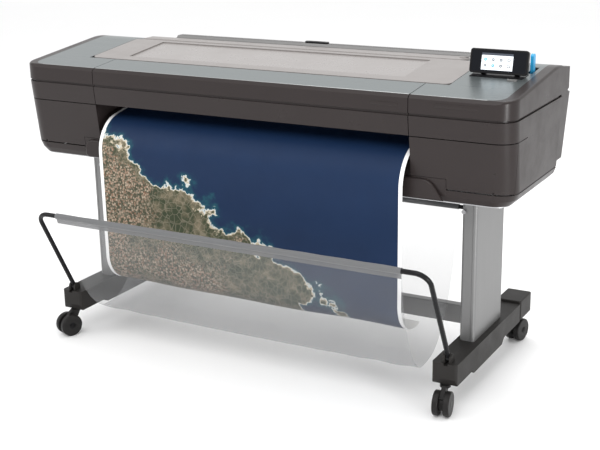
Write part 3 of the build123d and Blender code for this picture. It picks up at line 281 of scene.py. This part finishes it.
def grid(bm, rows, columns, point, thickness=0.0, uv=None):
    """A sheet of quads from point(row share, column share); thickness gives it a back."""
    layers = []
    for layer in range(2 if thickness else 1):
        layers.append([[None] * (columns + 1) for _ in range(rows + 1)])
    step = 1e-3
    for r in range(rows + 1):
        for c in range(columns + 1):
            u, v = c / columns, r / rows
            here = point(v, u)
            layers[0][r][c] = bm.verts.new(here)
            if thickness:
                over = point(min(v + step, 1.0), u) - point(max(v - step, 0.0), u)
                across = point(v, min(u + step, 1.0)) - point(v, max(u - step, 0.0))
                normal = over.cross(across).normalized()
                layers[1][r][c] = bm.verts.new(here + normal * thickness)
    faces = ([], [], [])
    for r in range(rows):
        for c in range(columns):
            for side, layer in enumerate(layers):
                corners = [layer[r][c], layer[r][c + 1], layer[r + 1][c + 1], layer[r + 1][c]]
                faces[side].append(bm.faces.new(corners))
    if thickness:
        rim = [(0, c) for c in range(columns)] + [(r, columns) for r in range(rows)]
        rim += [(rows, c) for c in range(columns, 0, -1)] + [(r, 0) for r in range(rows, 0, -1)]
        for (r0, c0), (r1, c1) in zip(rim, rim[1:] + rim[:1]):
            near, far = layers
            faces[2].append(bm.faces.new([near[r0][c0], near[r1][c1], far[r1][c1], far[r0][c0]]))
    if uv:
        layer_uv = bm.loops.layers.uv.new("UVMap")
        flat = {}
        for grid_layer in layers:
            for r in range(rows + 1):
                for c in range(columns + 1):
                    flat[grid_layer[r][c]] = (c / columns * uv[0], r / rows * uv[1])
        for face in bm.faces:
            for loop in face.loops:
                loop[layer_uv].uv = flat[loop.vert]
    return faces


def rounded_box(bm, low, high, radius, segments=3):
    """A box with rounded edges between two corners."""
    low, high = Vector(low), Vector(high)
    size = high - low
    made = bmesh.ops.create_cube(bm, size=1.0)["verts"]
    bmesh.ops.scale(bm, vec=size, verts=made)
    bmesh.ops.translate(bm, vec=(low + high) / 2, verts=made)
    edges = list({edge for vert in made for edge in vert.link_edges})
    bmesh.ops.bevel(
        bm, geom=edges, offset=min(radius, min(size) * 0.49), segments=segments, profile=0.5, affect="EDGES"
    )


def tube(bm, path, radius, sides=20, caps=True):
    """A round tube along a path; radius is a number or a function of the share along it."""
    rings = []
    normal = None
    for index, here in enumerate(path):
        ahead = path[min(index + 1, len(path) - 1)] - path[max(index - 1, 0)]
        ahead.normalize()
        if normal is None:
            normal = ahead.orthogonal().normalized()
        normal = (normal - ahead * normal.dot(ahead)).normalized()
        other = ahead.cross(normal)
        size = radius(index / (len(path) - 1)) if callable(radius) else radius
        ring = []
        for side in range(sides):
            angle = math.tau * side / sides
            ring.append(bm.verts.new(here + (normal * math.cos(angle) + other * math.sin(angle)) * size))
        rings.append(ring)
    for ring, following in zip(rings, rings[1:]):
        for side in range(sides):
            after = (side + 1) % sides
            bm.faces.new([ring[side], ring[after], following[after], following[side]])
    if caps:
        bm.faces.new(rings[0][::-1])
        bm.faces.new(rings[-1])


def lathe(bm, centre, axis, profile, sides=40):
    """A turned form: profile gives (radius, height along the axis), open or closed ends."""
    axis = Vector(axis).normalized()
    normal = axis.orthogonal().normalized()
    other = axis.cross(normal)
    centre = Vector(centre)
    rings = []
    for radius, height in profile:
        if radius < 1e-6:
            rings.append([bm.verts.new(centre + axis * height)])
            continue
        ring = []
        for side in range(sides):
            angle = math.tau * side / sides
            out = normal * math.cos(angle) + other * math.sin(angle)
            ring.append(bm.verts.new(centre + axis * height + out * radius))
        rings.append(ring)
    for ring, following in zip(rings, rings[1:]):
        for side in range(sides):
            after = (side + 1) % sides
            corners = [ring[side % len(ring)], ring[after % len(ring)]]
            corners += [following[after % len(following)], following[side % len(following)]]
            unique = list(dict.fromkeys(corners))
            if len(unique) > 2:
                bm.faces.new(unique)


# ---- printed sheet ---------------------------------------------------------------------------------
SHEET_LOW, SHEET_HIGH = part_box("printed_sheet")
PAPER_THICKNESS = 0.0004
PAPER_BORDER = 0.013
MEDIA_WIDTH = SHEET_HIGH.x - SHEET_LOW.x
SHEET_START = Vector((-0.098, 0.821))
SHEET_BEND = Vector((-0.200, 0.803))
SHEET_LEAD_ANGLE = 10
SHEET_OVER_RADIUS = 0.1235
SHEET_CURL_Z = 0.305
SHEET_CURL_RADIUS = 0.112
SHEET_CURL_ANGLE = 110


def sheet_profile():
    """Side view of the hanging sheet: out of the slot, over, down, and curled under."""
    lead = math.radians(SHEET_LEAD_ANGLE)
    path = [SHEET_START.lerp(SHEET_BEND, step / 8) for step in range(8)]
    for step in range(41):
        angle = math.radians(SHEET_LEAD_ANGLE + (90 - SHEET_LEAD_ANGLE) * step / 40)
        y = SHEET_BEND.x - SHEET_OVER_RADIUS * (math.sin(angle) - math.sin(lead))
        z = SHEET_BEND.y - SHEET_OVER_RADIUS * (math.cos(lead) - math.cos(angle))
        path.append(Vector((y, z)))
    front_y = path[-1].x
    for step in range(61):
        angle = math.radians(90 + SHEET_CURL_ANGLE * step / 60)
        y = front_y + SHEET_CURL_RADIUS * (1 - math.sin(angle))
        path.append(Vector((y, SHEET_CURL_Z + SHEET_CURL_RADIUS * math.cos(angle))))
    return [Vector((0, p.x, p.y)) for p in path]


def print_material(length):
    """Aerial view of a made-up coast: sea, shallows, beach, woods and a town, in a white border."""
    paint = Paint("printed_coast")
    coords = paint.node("SeparateXYZ")
    paint.feed(coords.inputs[0], paint.node("TexCoord").outputs["UV"])
    u, v = coords.outputs[0], coords.outputs[1]
    place = paint.place((1, 1, 1), "UV")
    # Signed distance to the shore: land is below a diagonal and left of a headland.
    wander = paint.span(paint.noise(place, 5.0, 10.0, 0.60), 0.25, 0.75, -0.12, 0.12)
    diagonal = paint.math("SUBTRACT", paint.math("SUBTRACT", v, 0.20), paint.math("MULTIPLY", u, 0.52))
    headland = paint.math("SUBTRACT", 0.90, u)
    bay_x = paint.math("SUBTRACT", u, 0.86)
    bay_y = paint.math("SUBTRACT", v, 0.84)
    bay_r = paint.math("ADD", paint.math("MULTIPLY", bay_x, bay_x), paint.math("MULTIPLY", bay_y, bay_y))
    bay = paint.math("SUBTRACT", paint.math("SQRT", bay_r), 0.13)
    shore = paint.math("MINIMUM", paint.math("MINIMUM", diagonal, headland), bay)
    shore = paint.math("ADD", shore, wander)
    # Sea: deep navy, lighter near the shore.
    swell = paint.noise(place, 7.0, 5.0, 0.6)
    deep = paint.mix(swell, (0.006, 0.018, 0.052), (0.008, 0.024, 0.068))
    shallow = paint.span(shore, -0.055, -0.004)
    shallow = paint.math("POWER", shallow, 3.0)
    sea = paint.mix(shallow, deep, (0.014, 0.090, 0.110))
    # Land: dark woods, dry ground and a town of small roofs.
    woods = paint.mix(paint.noise(place, 60.0, 6.0, 0.7), (0.018, 0.030, 0.016), (0.060, 0.070, 0.038))
    dry = paint.mix(paint.noise(place, 90.0, 5.0, 0.7), (0.13, 0.105, 0.068), (0.27, 0.225, 0.155))
    land = paint.mix(paint.span(paint.noise(place, 14.0, 8.0, 0.70), 0.46, 0.66), woods, dry)
    roofs = paint.node("TexVoronoi")
    paint.feed(roofs.inputs["Vector"], place)
    roofs.inputs["Scale"].default_value = 130.0
    roof_tone = paint.node("SeparateColor")
    paint.feed(roof_tone.inputs[0], roofs.outputs["Color"])
    roof = paint.mix(roof_tone.outputs[0], (0.20, 0.105, 0.066), (0.40, 0.325, 0.245))
    roof = paint.mix(paint.span(roofs.outputs["Distance"], 0.34, 0.62), roof, (0.060, 0.062, 0.040))
    town_place = paint.math("ADD", paint.noise(place, 3.3, 4.0, 0.5), paint.span(u, 0.0, 0.75, 0.14, -0.12))
    town = paint.math("MULTIPLY", paint.span(town_place, 0.47, 0.56), paint.span(shore, 0.015, 0.05))
    land = paint.mix(town, land, roof)
    streets = paint.node("TexVoronoi", feature="DISTANCE_TO_EDGE")
    paint.feed(streets.inputs["Vector"], place)
    streets.inputs["Scale"].default_value = 44.0
    street = paint.math("LESS_THAN", streets.outputs["Distance"], 0.045)
    land = paint.mix(paint.math("MULTIPLY", street, 0.26), land, (0.36, 0.31, 0.24))
    # Beach and surf.
    beach = paint.mix(paint.noise(place, 40.0), (0.52, 0.43, 0.30), (0.68, 0.60, 0.46))
    land = paint.mix(paint.span(shore, 0.002, 0.009, 0.85, 0.0), land, beach)
    surf = paint.math("LESS_THAN", paint.math("ABSOLUTE", paint.math("ADD", shore, 0.003)), 0.003)
    picture = paint.mix(paint.math("GREATER_THAN", shore, 0.0), sea, land)
    picture = paint.mix(paint.math("MULTIPLY", surf, 0.7), picture, (0.75, 0.76, 0.74))
    # White border.
    inside = paint.math("GREATER_THAN", u, PAPER_BORDER)
    inside = paint.math("MULTIPLY", inside, paint.math("LESS_THAN", u, MEDIA_WIDTH - PAPER_BORDER))
    inside = paint.math("MULTIPLY", inside, paint.math("LESS_THAN", v, length - 2 * PAPER_BORDER))
    paint.set(Base_Color=paint.mix(inside, (0.86, 0.86, 0.86), picture), Specular_IOR_Level=0.16)
    paint.set(Roughness=paint.span(paint.noise(place, 30.0), 0.3, 0.7, 0.46, 0.56))
    paint.bump(paint.noise(place, 900.0, 2.0), 0.03, 0.0002)
    return paint.material


def make_printed_sheet():
    """The print, printed side out, as one continuous curled sheet."""
    rows, columns = 150, 60
    path, length = even_path(sheet_profile(), rows)

    def point(v, u):
        place = v * rows
        low = min(int(place), rows - 1)
        here = path[low].lerp(path[low + 1], place - low)
        # Below the bend the paper bows back a little and waves across its width.
        hang = max(0.0, (v - 0.25) / 0.75)
        bow = 0.010 * hang * math.sin(math.pi * u) + 0.004 * hang * math.sin(2.6 * math.tau * u + 0.7)
        x = SHEET_LOW.x + u * MEDIA_WIDTH
        return Vector((x, here.y + bow, here.z + 0.004 * hang * math.cos(math.tau * u)))

    bm = bmesh.new()
    faces = grid(bm, rows, columns, point, PAPER_THICKNESS, uv=(MEDIA_WIDTH, length))
    for face in faces[0] + faces[2]:
        face.material_index = 1
    piece = mesh_object(
        "hanging_print", bm, [print_material(length), MATERIALS["paper"]], "chassis", 60.0
    )
    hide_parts("printed_sheet")


make_printed_sheet()


# ---- basket ----------------------------------------------------------------------------------------
BAR = Vector((0.0, -0.493, 0.497))
BAR_RADIUS = 0.008
REAR_BAR = Vector((0.0, -0.046, 0.575))
CLOTH_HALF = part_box("basket_cloth")[1].x
HEM_SHARE = 0.016
HEM_ROWS = 6
HEM_WIDTH = 0.03
HEM_LIFT = Vector((0, -0.0016, 0))
SLEEVE_THICKNESS = 0.0022
SLEEVE_PUCKER = 0.0004
REAR_SLEEVE_RADIUS = 0.0085
SLEEVE_TURNS = 60
CLOTH_PROFILE = (
    (-0.493, 0.487),
    (-0.470, 0.400),
    (-0.440, 0.306),
    (-0.386, 0.192),
    (-0.338, 0.133),
    (-0.290, 0.110),
    (-0.190, 0.131),
    (-0.108, 0.225),
    (-0.062, 0.380),
    (-0.047, 0.567),
)


def cloth_material(name, alpha, floor_alpha, colour):
    """Open polyester mesh: a fine woven net with a soft sheen, partly see-through."""
    paint = Paint(name)
    place = paint.place((1, 1, 1), "UV")
    weave = paint.node("TexChecker")
    paint.feed(weave.inputs["Vector"], place)
    weave.inputs["Scale"].default_value = 700.0
    cloud = paint.noise(place, 5.0, 5.0, 0.6)
    tone = paint.mix(cloud, scaled(colour, 0.9), scaled(colour, 1.08))
    threads = paint.noise(paint.place((30, 900, 1), "UV"), 1.0, 3.0)
    tone = paint.mix(paint.math("MULTIPLY", threads, 0.30), tone, scaled(colour, 0.72))
    # The net looks denser low down, where the cloth turns under the print.
    coords = paint.node("SeparateXYZ")
    paint.feed(coords.inputs[0], paint.node("TexCoord").outputs["UV"])
    from_turn = paint.math("ABSOLUTE", paint.math("SUBTRACT", coords.outputs[1], 0.50))
    low = paint.span(from_turn, 0.02, 0.22, 1.0, 0.0)
    density = paint.span(low, 0.0, 1.0, alpha, floor_alpha)
    density = paint.math("MULTIPLY", density, paint.span(cloud, 0.2, 0.8, 0.94, 1.06))
    paint.set(Base_Color=tone, Roughness=0.72, Alpha=density)
    paint.shader.inputs["Sheen Weight"].default_value = 0.25
    paint.bump(weave.outputs[1], 0.25, 0.0004)
    return paint.material


CLOTH = cloth_material("basket_net", 0.26, 0.46, (0.24, 0.243, 0.25))
HEM = cloth_material("basket_hem", 0.90, 0.90, (0.13, 0.132, 0.136))


def make_basket():
    """Mesh cloth slung between the bail and the rear bar, with its hem band and sleeves."""
    rows, columns = 120, 80
    path, length = even_path(smooth_path([(0, *p) for p in CLOTH_PROFILE], 14), rows)

    def point(v, u):
        place = v * rows
        low = min(int(place), rows - 1)
        here = path[low].lerp(path[low + 1], place - low)
        side = 2 * u - 1
        pull = math.sin(math.pi * v)
        x = side * (CLOTH_HALF - 0.018 * pull)
        sag = 0.006 * pull * math.cos(math.pi * side / 2)
        ripple = 0.0018 * pull * math.sin(9 * math.tau * u + 5 * v) * abs(side) ** 2
        return Vector((x, here.y + ripple, here.z - sag + ripple))

    bm = bmesh.new()
    grid(bm, rows, columns, point, 0.0, uv=(2 * CLOTH_HALF, length))
    cloth = mesh_object("basket_net", bm, CLOTH, None, 60.0)

    def hem_point(v, u):
        return point(v * HEM_SHARE, u) + HEM_LIFT

    bm = bmesh.new()
    grid(bm, HEM_ROWS, columns, hem_point, 0.0, uv=(2 * CLOTH_HALF, HEM_WIDTH))
    band = mesh_object("basket_hem_band", bm, HEM, "bail", 60.0)

    bm = bmesh.new()
    across = [-CLOTH_HALF + 2 * CLOTH_HALF * i / SLEEVE_TURNS for i in range(SLEEVE_TURNS + 1)]
    line = [Vector((x, BAR.y, BAR.z)) for x in across]
    radius = BAR_RADIUS + SLEEVE_THICKNESS
    tube(bm, line, lambda share: radius + SLEEVE_PUCKER * math.sin(61 * share), 24, caps=False)
    sleeve = mesh_object("basket_hem_sleeve", bm, HEM, "bail", 60.0)

    bm = bmesh.new()
    line = [Vector((x, REAR_BAR.y, REAR_BAR.z)) for x in across]
    tube(bm, line, REAR_SLEEVE_RADIUS, 20, caps=False)
    rear = mesh_object("basket_rear_sleeve", bm, HEM, "chassis", 60.0)

    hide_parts("basket_cloth")
    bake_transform(cloth)


make_basket()


# ---- control panel ------------------------------------------------------------------------------------
def glow(name, colour, strength):
    """Lit part of the touch panel."""
    paint = Paint(name)
    cloud = paint.noise(paint.place(), 30.0)
    paint.set(Base_Color=paint.mix(cloud, scaled(colour, 0.96), colour), Roughness=0.25)
    paint.shader.inputs["Emission Color"].default_value = rgba(colour)
    paint.shader.inputs["Emission Strength"].default_value = strength
    return paint.material


LEAN = math.radians(12)
LCD_WIDTH, LCD_HEIGHT = 0.101, 0.052
LCD = (-0.005, -0.001)
STRIP_HEIGHT = 0.007
ICON_ROWS, ICON_COLUMNS = 2, 4
ICON_ROW_STEP = 0.0185
BLUE_ICONS = ((0, 0), (1, 1))
ICON_LIFT = 0.0003
INNER_LIFT = 0.0006
CAPTION_DROP = 0.0072
PANEL_RIGHT = Vector((1, 0, 0))
PANEL_UP = Vector((0, math.sin(LEAN), math.cos(LEAN)))
PANEL_OUT = Vector((0, -math.cos(LEAN), math.sin(LEAN)))
SCREEN_LOW, SCREEN_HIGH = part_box("display_screen")
PANEL_MIDDLE = Vector(((SCREEN_LOW.x + SCREEN_HIGH.x) / 2, -0.010, 1.012))
PANEL_MIDDLE = PANEL_MIDDLE + PANEL_UP * 0.030 + PANEL_OUT * 0.0066


def panel_outline(bm, centre, outline, lift, depth=0.0002):
    """A flat shape on the touch panel, from points in metres right and up of its middle."""
    corners = []
    for level in (lift, lift + depth):
        ring = []
        for x, y in outline:
            at = PANEL_MIDDLE + PANEL_RIGHT * (centre[0] + x) + PANEL_UP * (centre[1] + y)
            ring.append(bm.verts.new(at + PANEL_OUT * level))
        corners.append(ring)
    bm.faces.new(corners[1])
    bm.faces.new(corners[0][::-1])
    count = len(outline)
    for i in range(count):
        j = (i + 1) % count
        bm.faces.new([corners[0][i], corners[0][j], corners[1][j], corners[1][i]])


def rounded_outline(width, height, radius, steps=6):
    """Corner points of a rounded rectangle about its middle."""
    points = []
    corners = ((1, 1, 0), (-1, 1, 90), (-1, -1, 180), (1, -1, 270))
    for sx, sy, start in corners:
        for step in range(steps + 1):
            angle = math.radians(start + 90 * step / steps)
            x = sx * (width / 2 - radius) + radius * math.cos(angle)
            y = sy * (height / 2 - radius) + radius * math.sin(angle)
            points.append((x, y))
    return points


def disc(radius, steps=28):
    """Corner points of a regular disc about its middle."""
    angles = [math.tau * i / steps for i in range(steps)]
    return [(radius * math.cos(angle), radius * math.sin(angle)) for angle in angles]


def panel_piece(name, outline, centre, lift, material):
    """One flat shape on the touch panel as a named piece."""
    bm = bmesh.new()
    panel_outline(bm, centre, outline, lift)
    mesh_object(name, bm, material, "display")


def make_icon(row, column, blue, grey, pale):
    """An icon's plain shape, its lighter middle and the bar that stands for its caption."""
    centre = (
        LCD[0] + (column - 1.5) * LCD_WIDTH / ICON_COLUMNS,
        LCD[1] - STRIP_HEIGHT / 2 + (0.5 - row) * ICON_ROW_STEP + 0.0005,
    )
    lit = (row, column) in BLUE_ICONS
    inner = disc(0.0015)
    if column == 3:
        outline = rounded_outline(0.0105, 0.0078, 0.001)
        inner = rounded_outline(0.0065, 0.0038, 0.0006)
    elif column == 2 or lit:
        outline = disc(0.0048)
    else:
        outline = rounded_outline(0.0082, 0.0082, 0.0018)
    name = f"icon_{row}_{column}"
    panel_piece(name, outline, centre, ICON_LIFT, blue if lit else grey)
    panel_piece(f"{name}_inner", inner, centre, INNER_LIFT, pale)
    caption = (centre[0], centre[1] - CAPTION_DROP)
    panel_piece(f"{name}_bar", rounded_outline(0.012, 0.0010, 0.0004), caption, ICON_LIFT, grey)


def make_panel():
    """Lit screen with a dark status strip and two rows of plain icons."""
    page = rounded_outline(LCD_WIDTH, LCD_HEIGHT - STRIP_HEIGHT, 0.0008)
    page_centre = (LCD[0], LCD[1] - STRIP_HEIGHT / 2)
    panel_piece("screen_page", page, page_centre, 0, glow("screen_page", (0.80, 0.84, 0.88), 0.55))
    strip = rounded_outline(LCD_WIDTH, STRIP_HEIGHT, 0.0006)
    strip_centre = (LCD[0], LCD[1] + (LCD_HEIGHT - STRIP_HEIGHT) / 2)
    panel_piece("screen_strip", strip, strip_centre, 0.0001, glow("screen_strip", (0.05, 0.06, 0.08), 0.2))
    blue = glow("icon_blue", (0.07, 0.38, 0.55), 0.25)
    grey = glow("icon_grey", (0.16, 0.18, 0.20), 0.1)
    pale = glow("icon_pale", (0.86, 0.88, 0.90), 0.5)
    for row in range(ICON_ROWS):
        for column in range(ICON_COLUMNS):
            make_icon(row, column, blue, grey, pale)


make_panel()


# ---- small details -----------------------------------------------------------------------------
RIB_PITCH = 0.009
RIB_HALF = RIB_PITCH * 0.3
RIB_HEIGHT = 0.0022
RIB_SPAN_Y = (0.014, 0.034)
RIB_MARGIN = 0.006
BOSS_RADIUS = 0.011
WHEEL_HALF_LIMIT = 0.026
# Corner inset and gaps of the pale strips that paint a highlight along the plates' front edge.
EDGE_HIGHLIGHT_CORNER_INSET = 0.045
EDGE_HIGHLIGHT_GAP = 0.0015


def make_roll_cover_ribs():
    """Moulded ribs on the flat of the roll cover, leaving the latch's place free."""
    low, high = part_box("roll_cover")
    latch_low, latch_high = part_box("roll_cover_latch")
    top = high.z - 0.0006
    front, back = [low.y + y for y in RIB_SPAN_Y]
    spans = (
        (low.x + RIB_MARGIN, latch_low.x - RIB_MARGIN),
        (latch_high.x + RIB_MARGIN, high.x - RIB_MARGIN),
    )
    for index, (start, end) in enumerate(spans):
        bm = bmesh.new()
        for rib in range(int((end - start) / RIB_PITCH)):
            x = start + (rib + 0.5) * RIB_PITCH
            rounded_box(bm, (x - RIB_HALF, front, top), (x + RIB_HALF, back, top + RIB_HEIGHT), 0.0006, 2)
        mesh_object(f"roll_cover_ribs_{index}", bm, MATERIALS["grey_cover"], "roll_lid")


def make_hinge_boss():
    """Round pivot cap at the right end of the rim behind the lid."""
    low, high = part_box("rear_rim")
    centre = (high.x - 0.026, low.y + 0.030, high.z - 0.0012)
    bm = bmesh.new()
    cap = ((0, 0), (BOSS_RADIUS, 0), (BOSS_RADIUS, 0.0030), (BOSS_RADIUS - 0.002, 0.0042), (0, 0.0042))
    lathe(bm, centre, (0, 0, 1), cap)
    mesh_object("rim_boss", bm, MATERIALS["taupe_lid"], "chassis")
    bm = bmesh.new()
    pin = ((0, 0), (0.004, 0), (0.004, 0.0030), (0, 0.0030))
    lathe(bm, (centre[0] + 0.016, centre[1], centre[2]), (0, 0, 1), pin)
    mesh_object("rim_boss_pin", bm, MATERIALS["black_plastic"], "chassis")


def make_caster_caps():
    """Turned cap on the outer faces of each caster's wheels."""
    joints = {joint["name"]: joint for joint in frame["record"]["behaviour"]["joints"]}
    for corner in ("front_left", "front_right", "rear_left", "rear_right"):
        low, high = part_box(f"caster_wheels_{corner}")
        centre = (low + high) / 2
        axis = Vector(joints[f"caster_roll_{corner}"]["axis"])
        half_width = 0.5 * (abs(high.x - low.x) * abs(axis.x) + abs(high.y - low.y) * abs(axis.y))
        half_width = min(half_width, WHEEL_HALF_LIMIT)
        bm = bmesh.new()
        for way in (-1, 1):
            face = centre + axis * way * (half_width - 0.0012)
            cap = ((0, 0.0022), (0.012, 0.0022), (0.0145, 0.0010), (0.0145, -0.001), (0, -0.001))
            lathe(bm, face, axis * way, cap, 28)
        material = MATERIALS["black_plastic"]
        mesh_object(f"caster_cap_{corner}", bm, material, f"wheels_{corner}")


def make_nameplates():
    """Blank nameplate on the right band and a second one on the centre band."""
    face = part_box("right_top_cover")[0].y
    plates = (
        ("nameplate_right", 0.649, 0.789, 0.940, 0.954),
        ("nameplate_centre", 0.440, 0.530, 0.934, 0.946),
    )
    for name, left, right, bottom, top in plates:
        bm = bmesh.new()
        rounded_box(bm, (left, face - 0.0012, bottom), (right, face + 0.002, top), 0.0011, 2)
        mesh_object(name, bm, MATERIALS["dark_body"], "chassis")


def make_painted_edge_highlights():
    """Painted highlight along the front of the silver top, one length for each plate: a pale metal strip
    standing for the bright line of light on the front edge.
    """
    for name in ("left_top_plate", "front_top_plate", "right_top_plate"):
        low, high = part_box(name)
        start = low.x + (EDGE_HIGHLIGHT_CORNER_INSET if name == "left_top_plate" else EDGE_HIGHLIGHT_GAP)
        end = high.x - (EDGE_HIGHLIGHT_CORNER_INSET if name == "right_top_plate" else EDGE_HIGHLIGHT_GAP)
        bm = bmesh.new()
        front, back = low.y - 0.0024, low.y + 0.0012
        rounded_box(bm, (start, front, low.z - 0.0004), (end, back, low.z + 0.0030), 0.0012, 3)
        mesh_object(f"{name}_trim", bm, EDGE_HIGHLIGHT_METAL, "chassis")


# Pale metal for the front-edge strips, far lighter than the plates: a painted highlight.
EDGE_HIGHLIGHT_METAL = brushed("plate_trim", (0.55, 0.57, 0.57), 0.28, "X", 0.85, 0.04)
make_roll_cover_ribs()
make_hinge_boss()
make_caster_caps()
make_nameplates()
make_painted_edge_highlights()


# ---- stage and light --------------------------------------------------------------------------------------
FLOOR_HALF = 14.0
LIGHT_AIM = Vector((0, 0, 0.6))
LIGHTS = (
    ("key", (0.6, -3.6, 4.2), 3.0, 70.0),
    ("fill", (-3.4, -2.6, 2.6), 2.6, 35.0),
    ("top", (0.2, 1.0, 4.4), 4.0, 95.0),
    ("corner", (4.0, -2.3, 0.55), 0.6, 60.0),
)


def make_stage():
    """Pale floor, white surroundings and large soft lights."""
    bm = bmesh.new()
    corners = [(x * FLOOR_HALF, y * FLOOR_HALF) for x, y in ((-1, -1), (1, -1), (1, 1), (-1, 1))]
    bm.faces.new([bm.verts.new((x, y, 0)) for x, y in corners])
    mesh = bpy.data.meshes.new("floor")
    bm.to_mesh(mesh)
    bm.free()
    floor = bpy.data.objects.new("floor", mesh)
    bpy.context.scene.collection.objects.link(floor)
    paint = Paint("floor")
    cloud = paint.noise(paint.place(), 0.8)
    paint.set(Base_Color=paint.mix(cloud, (0.94, 0.94, 0.94), (0.96, 0.96, 0.96)), Roughness=0.6)
    mesh.materials.append(paint.material)
    world = bpy.data.worlds.new("studio")
    world.use_nodes = True
    background = world.node_tree.nodes["Background"]
    background.inputs["Color"].default_value = (1.0, 1.0, 1.0, 1.0)
    background.inputs["Strength"].default_value = 1.02
    bpy.context.scene.world = world
    for name, place, size, power in LIGHTS:
        data = bpy.data.lights.new(name, "AREA")
        data.shape = "DISK"
        data.size = size
        data.energy = power
        lamp = bpy.data.objects.new(name, data)
        bpy.context.scene.collection.objects.link(lamp)
        aim = Vector(place) - LIGHT_AIM
        lamp.matrix_world = Matrix.Translation(place) @ aim.to_track_quat("Z", "Y").to_matrix().to_4x4()


make_stage()
bpy.context.scene.view_settings.view_transform = "Standard"
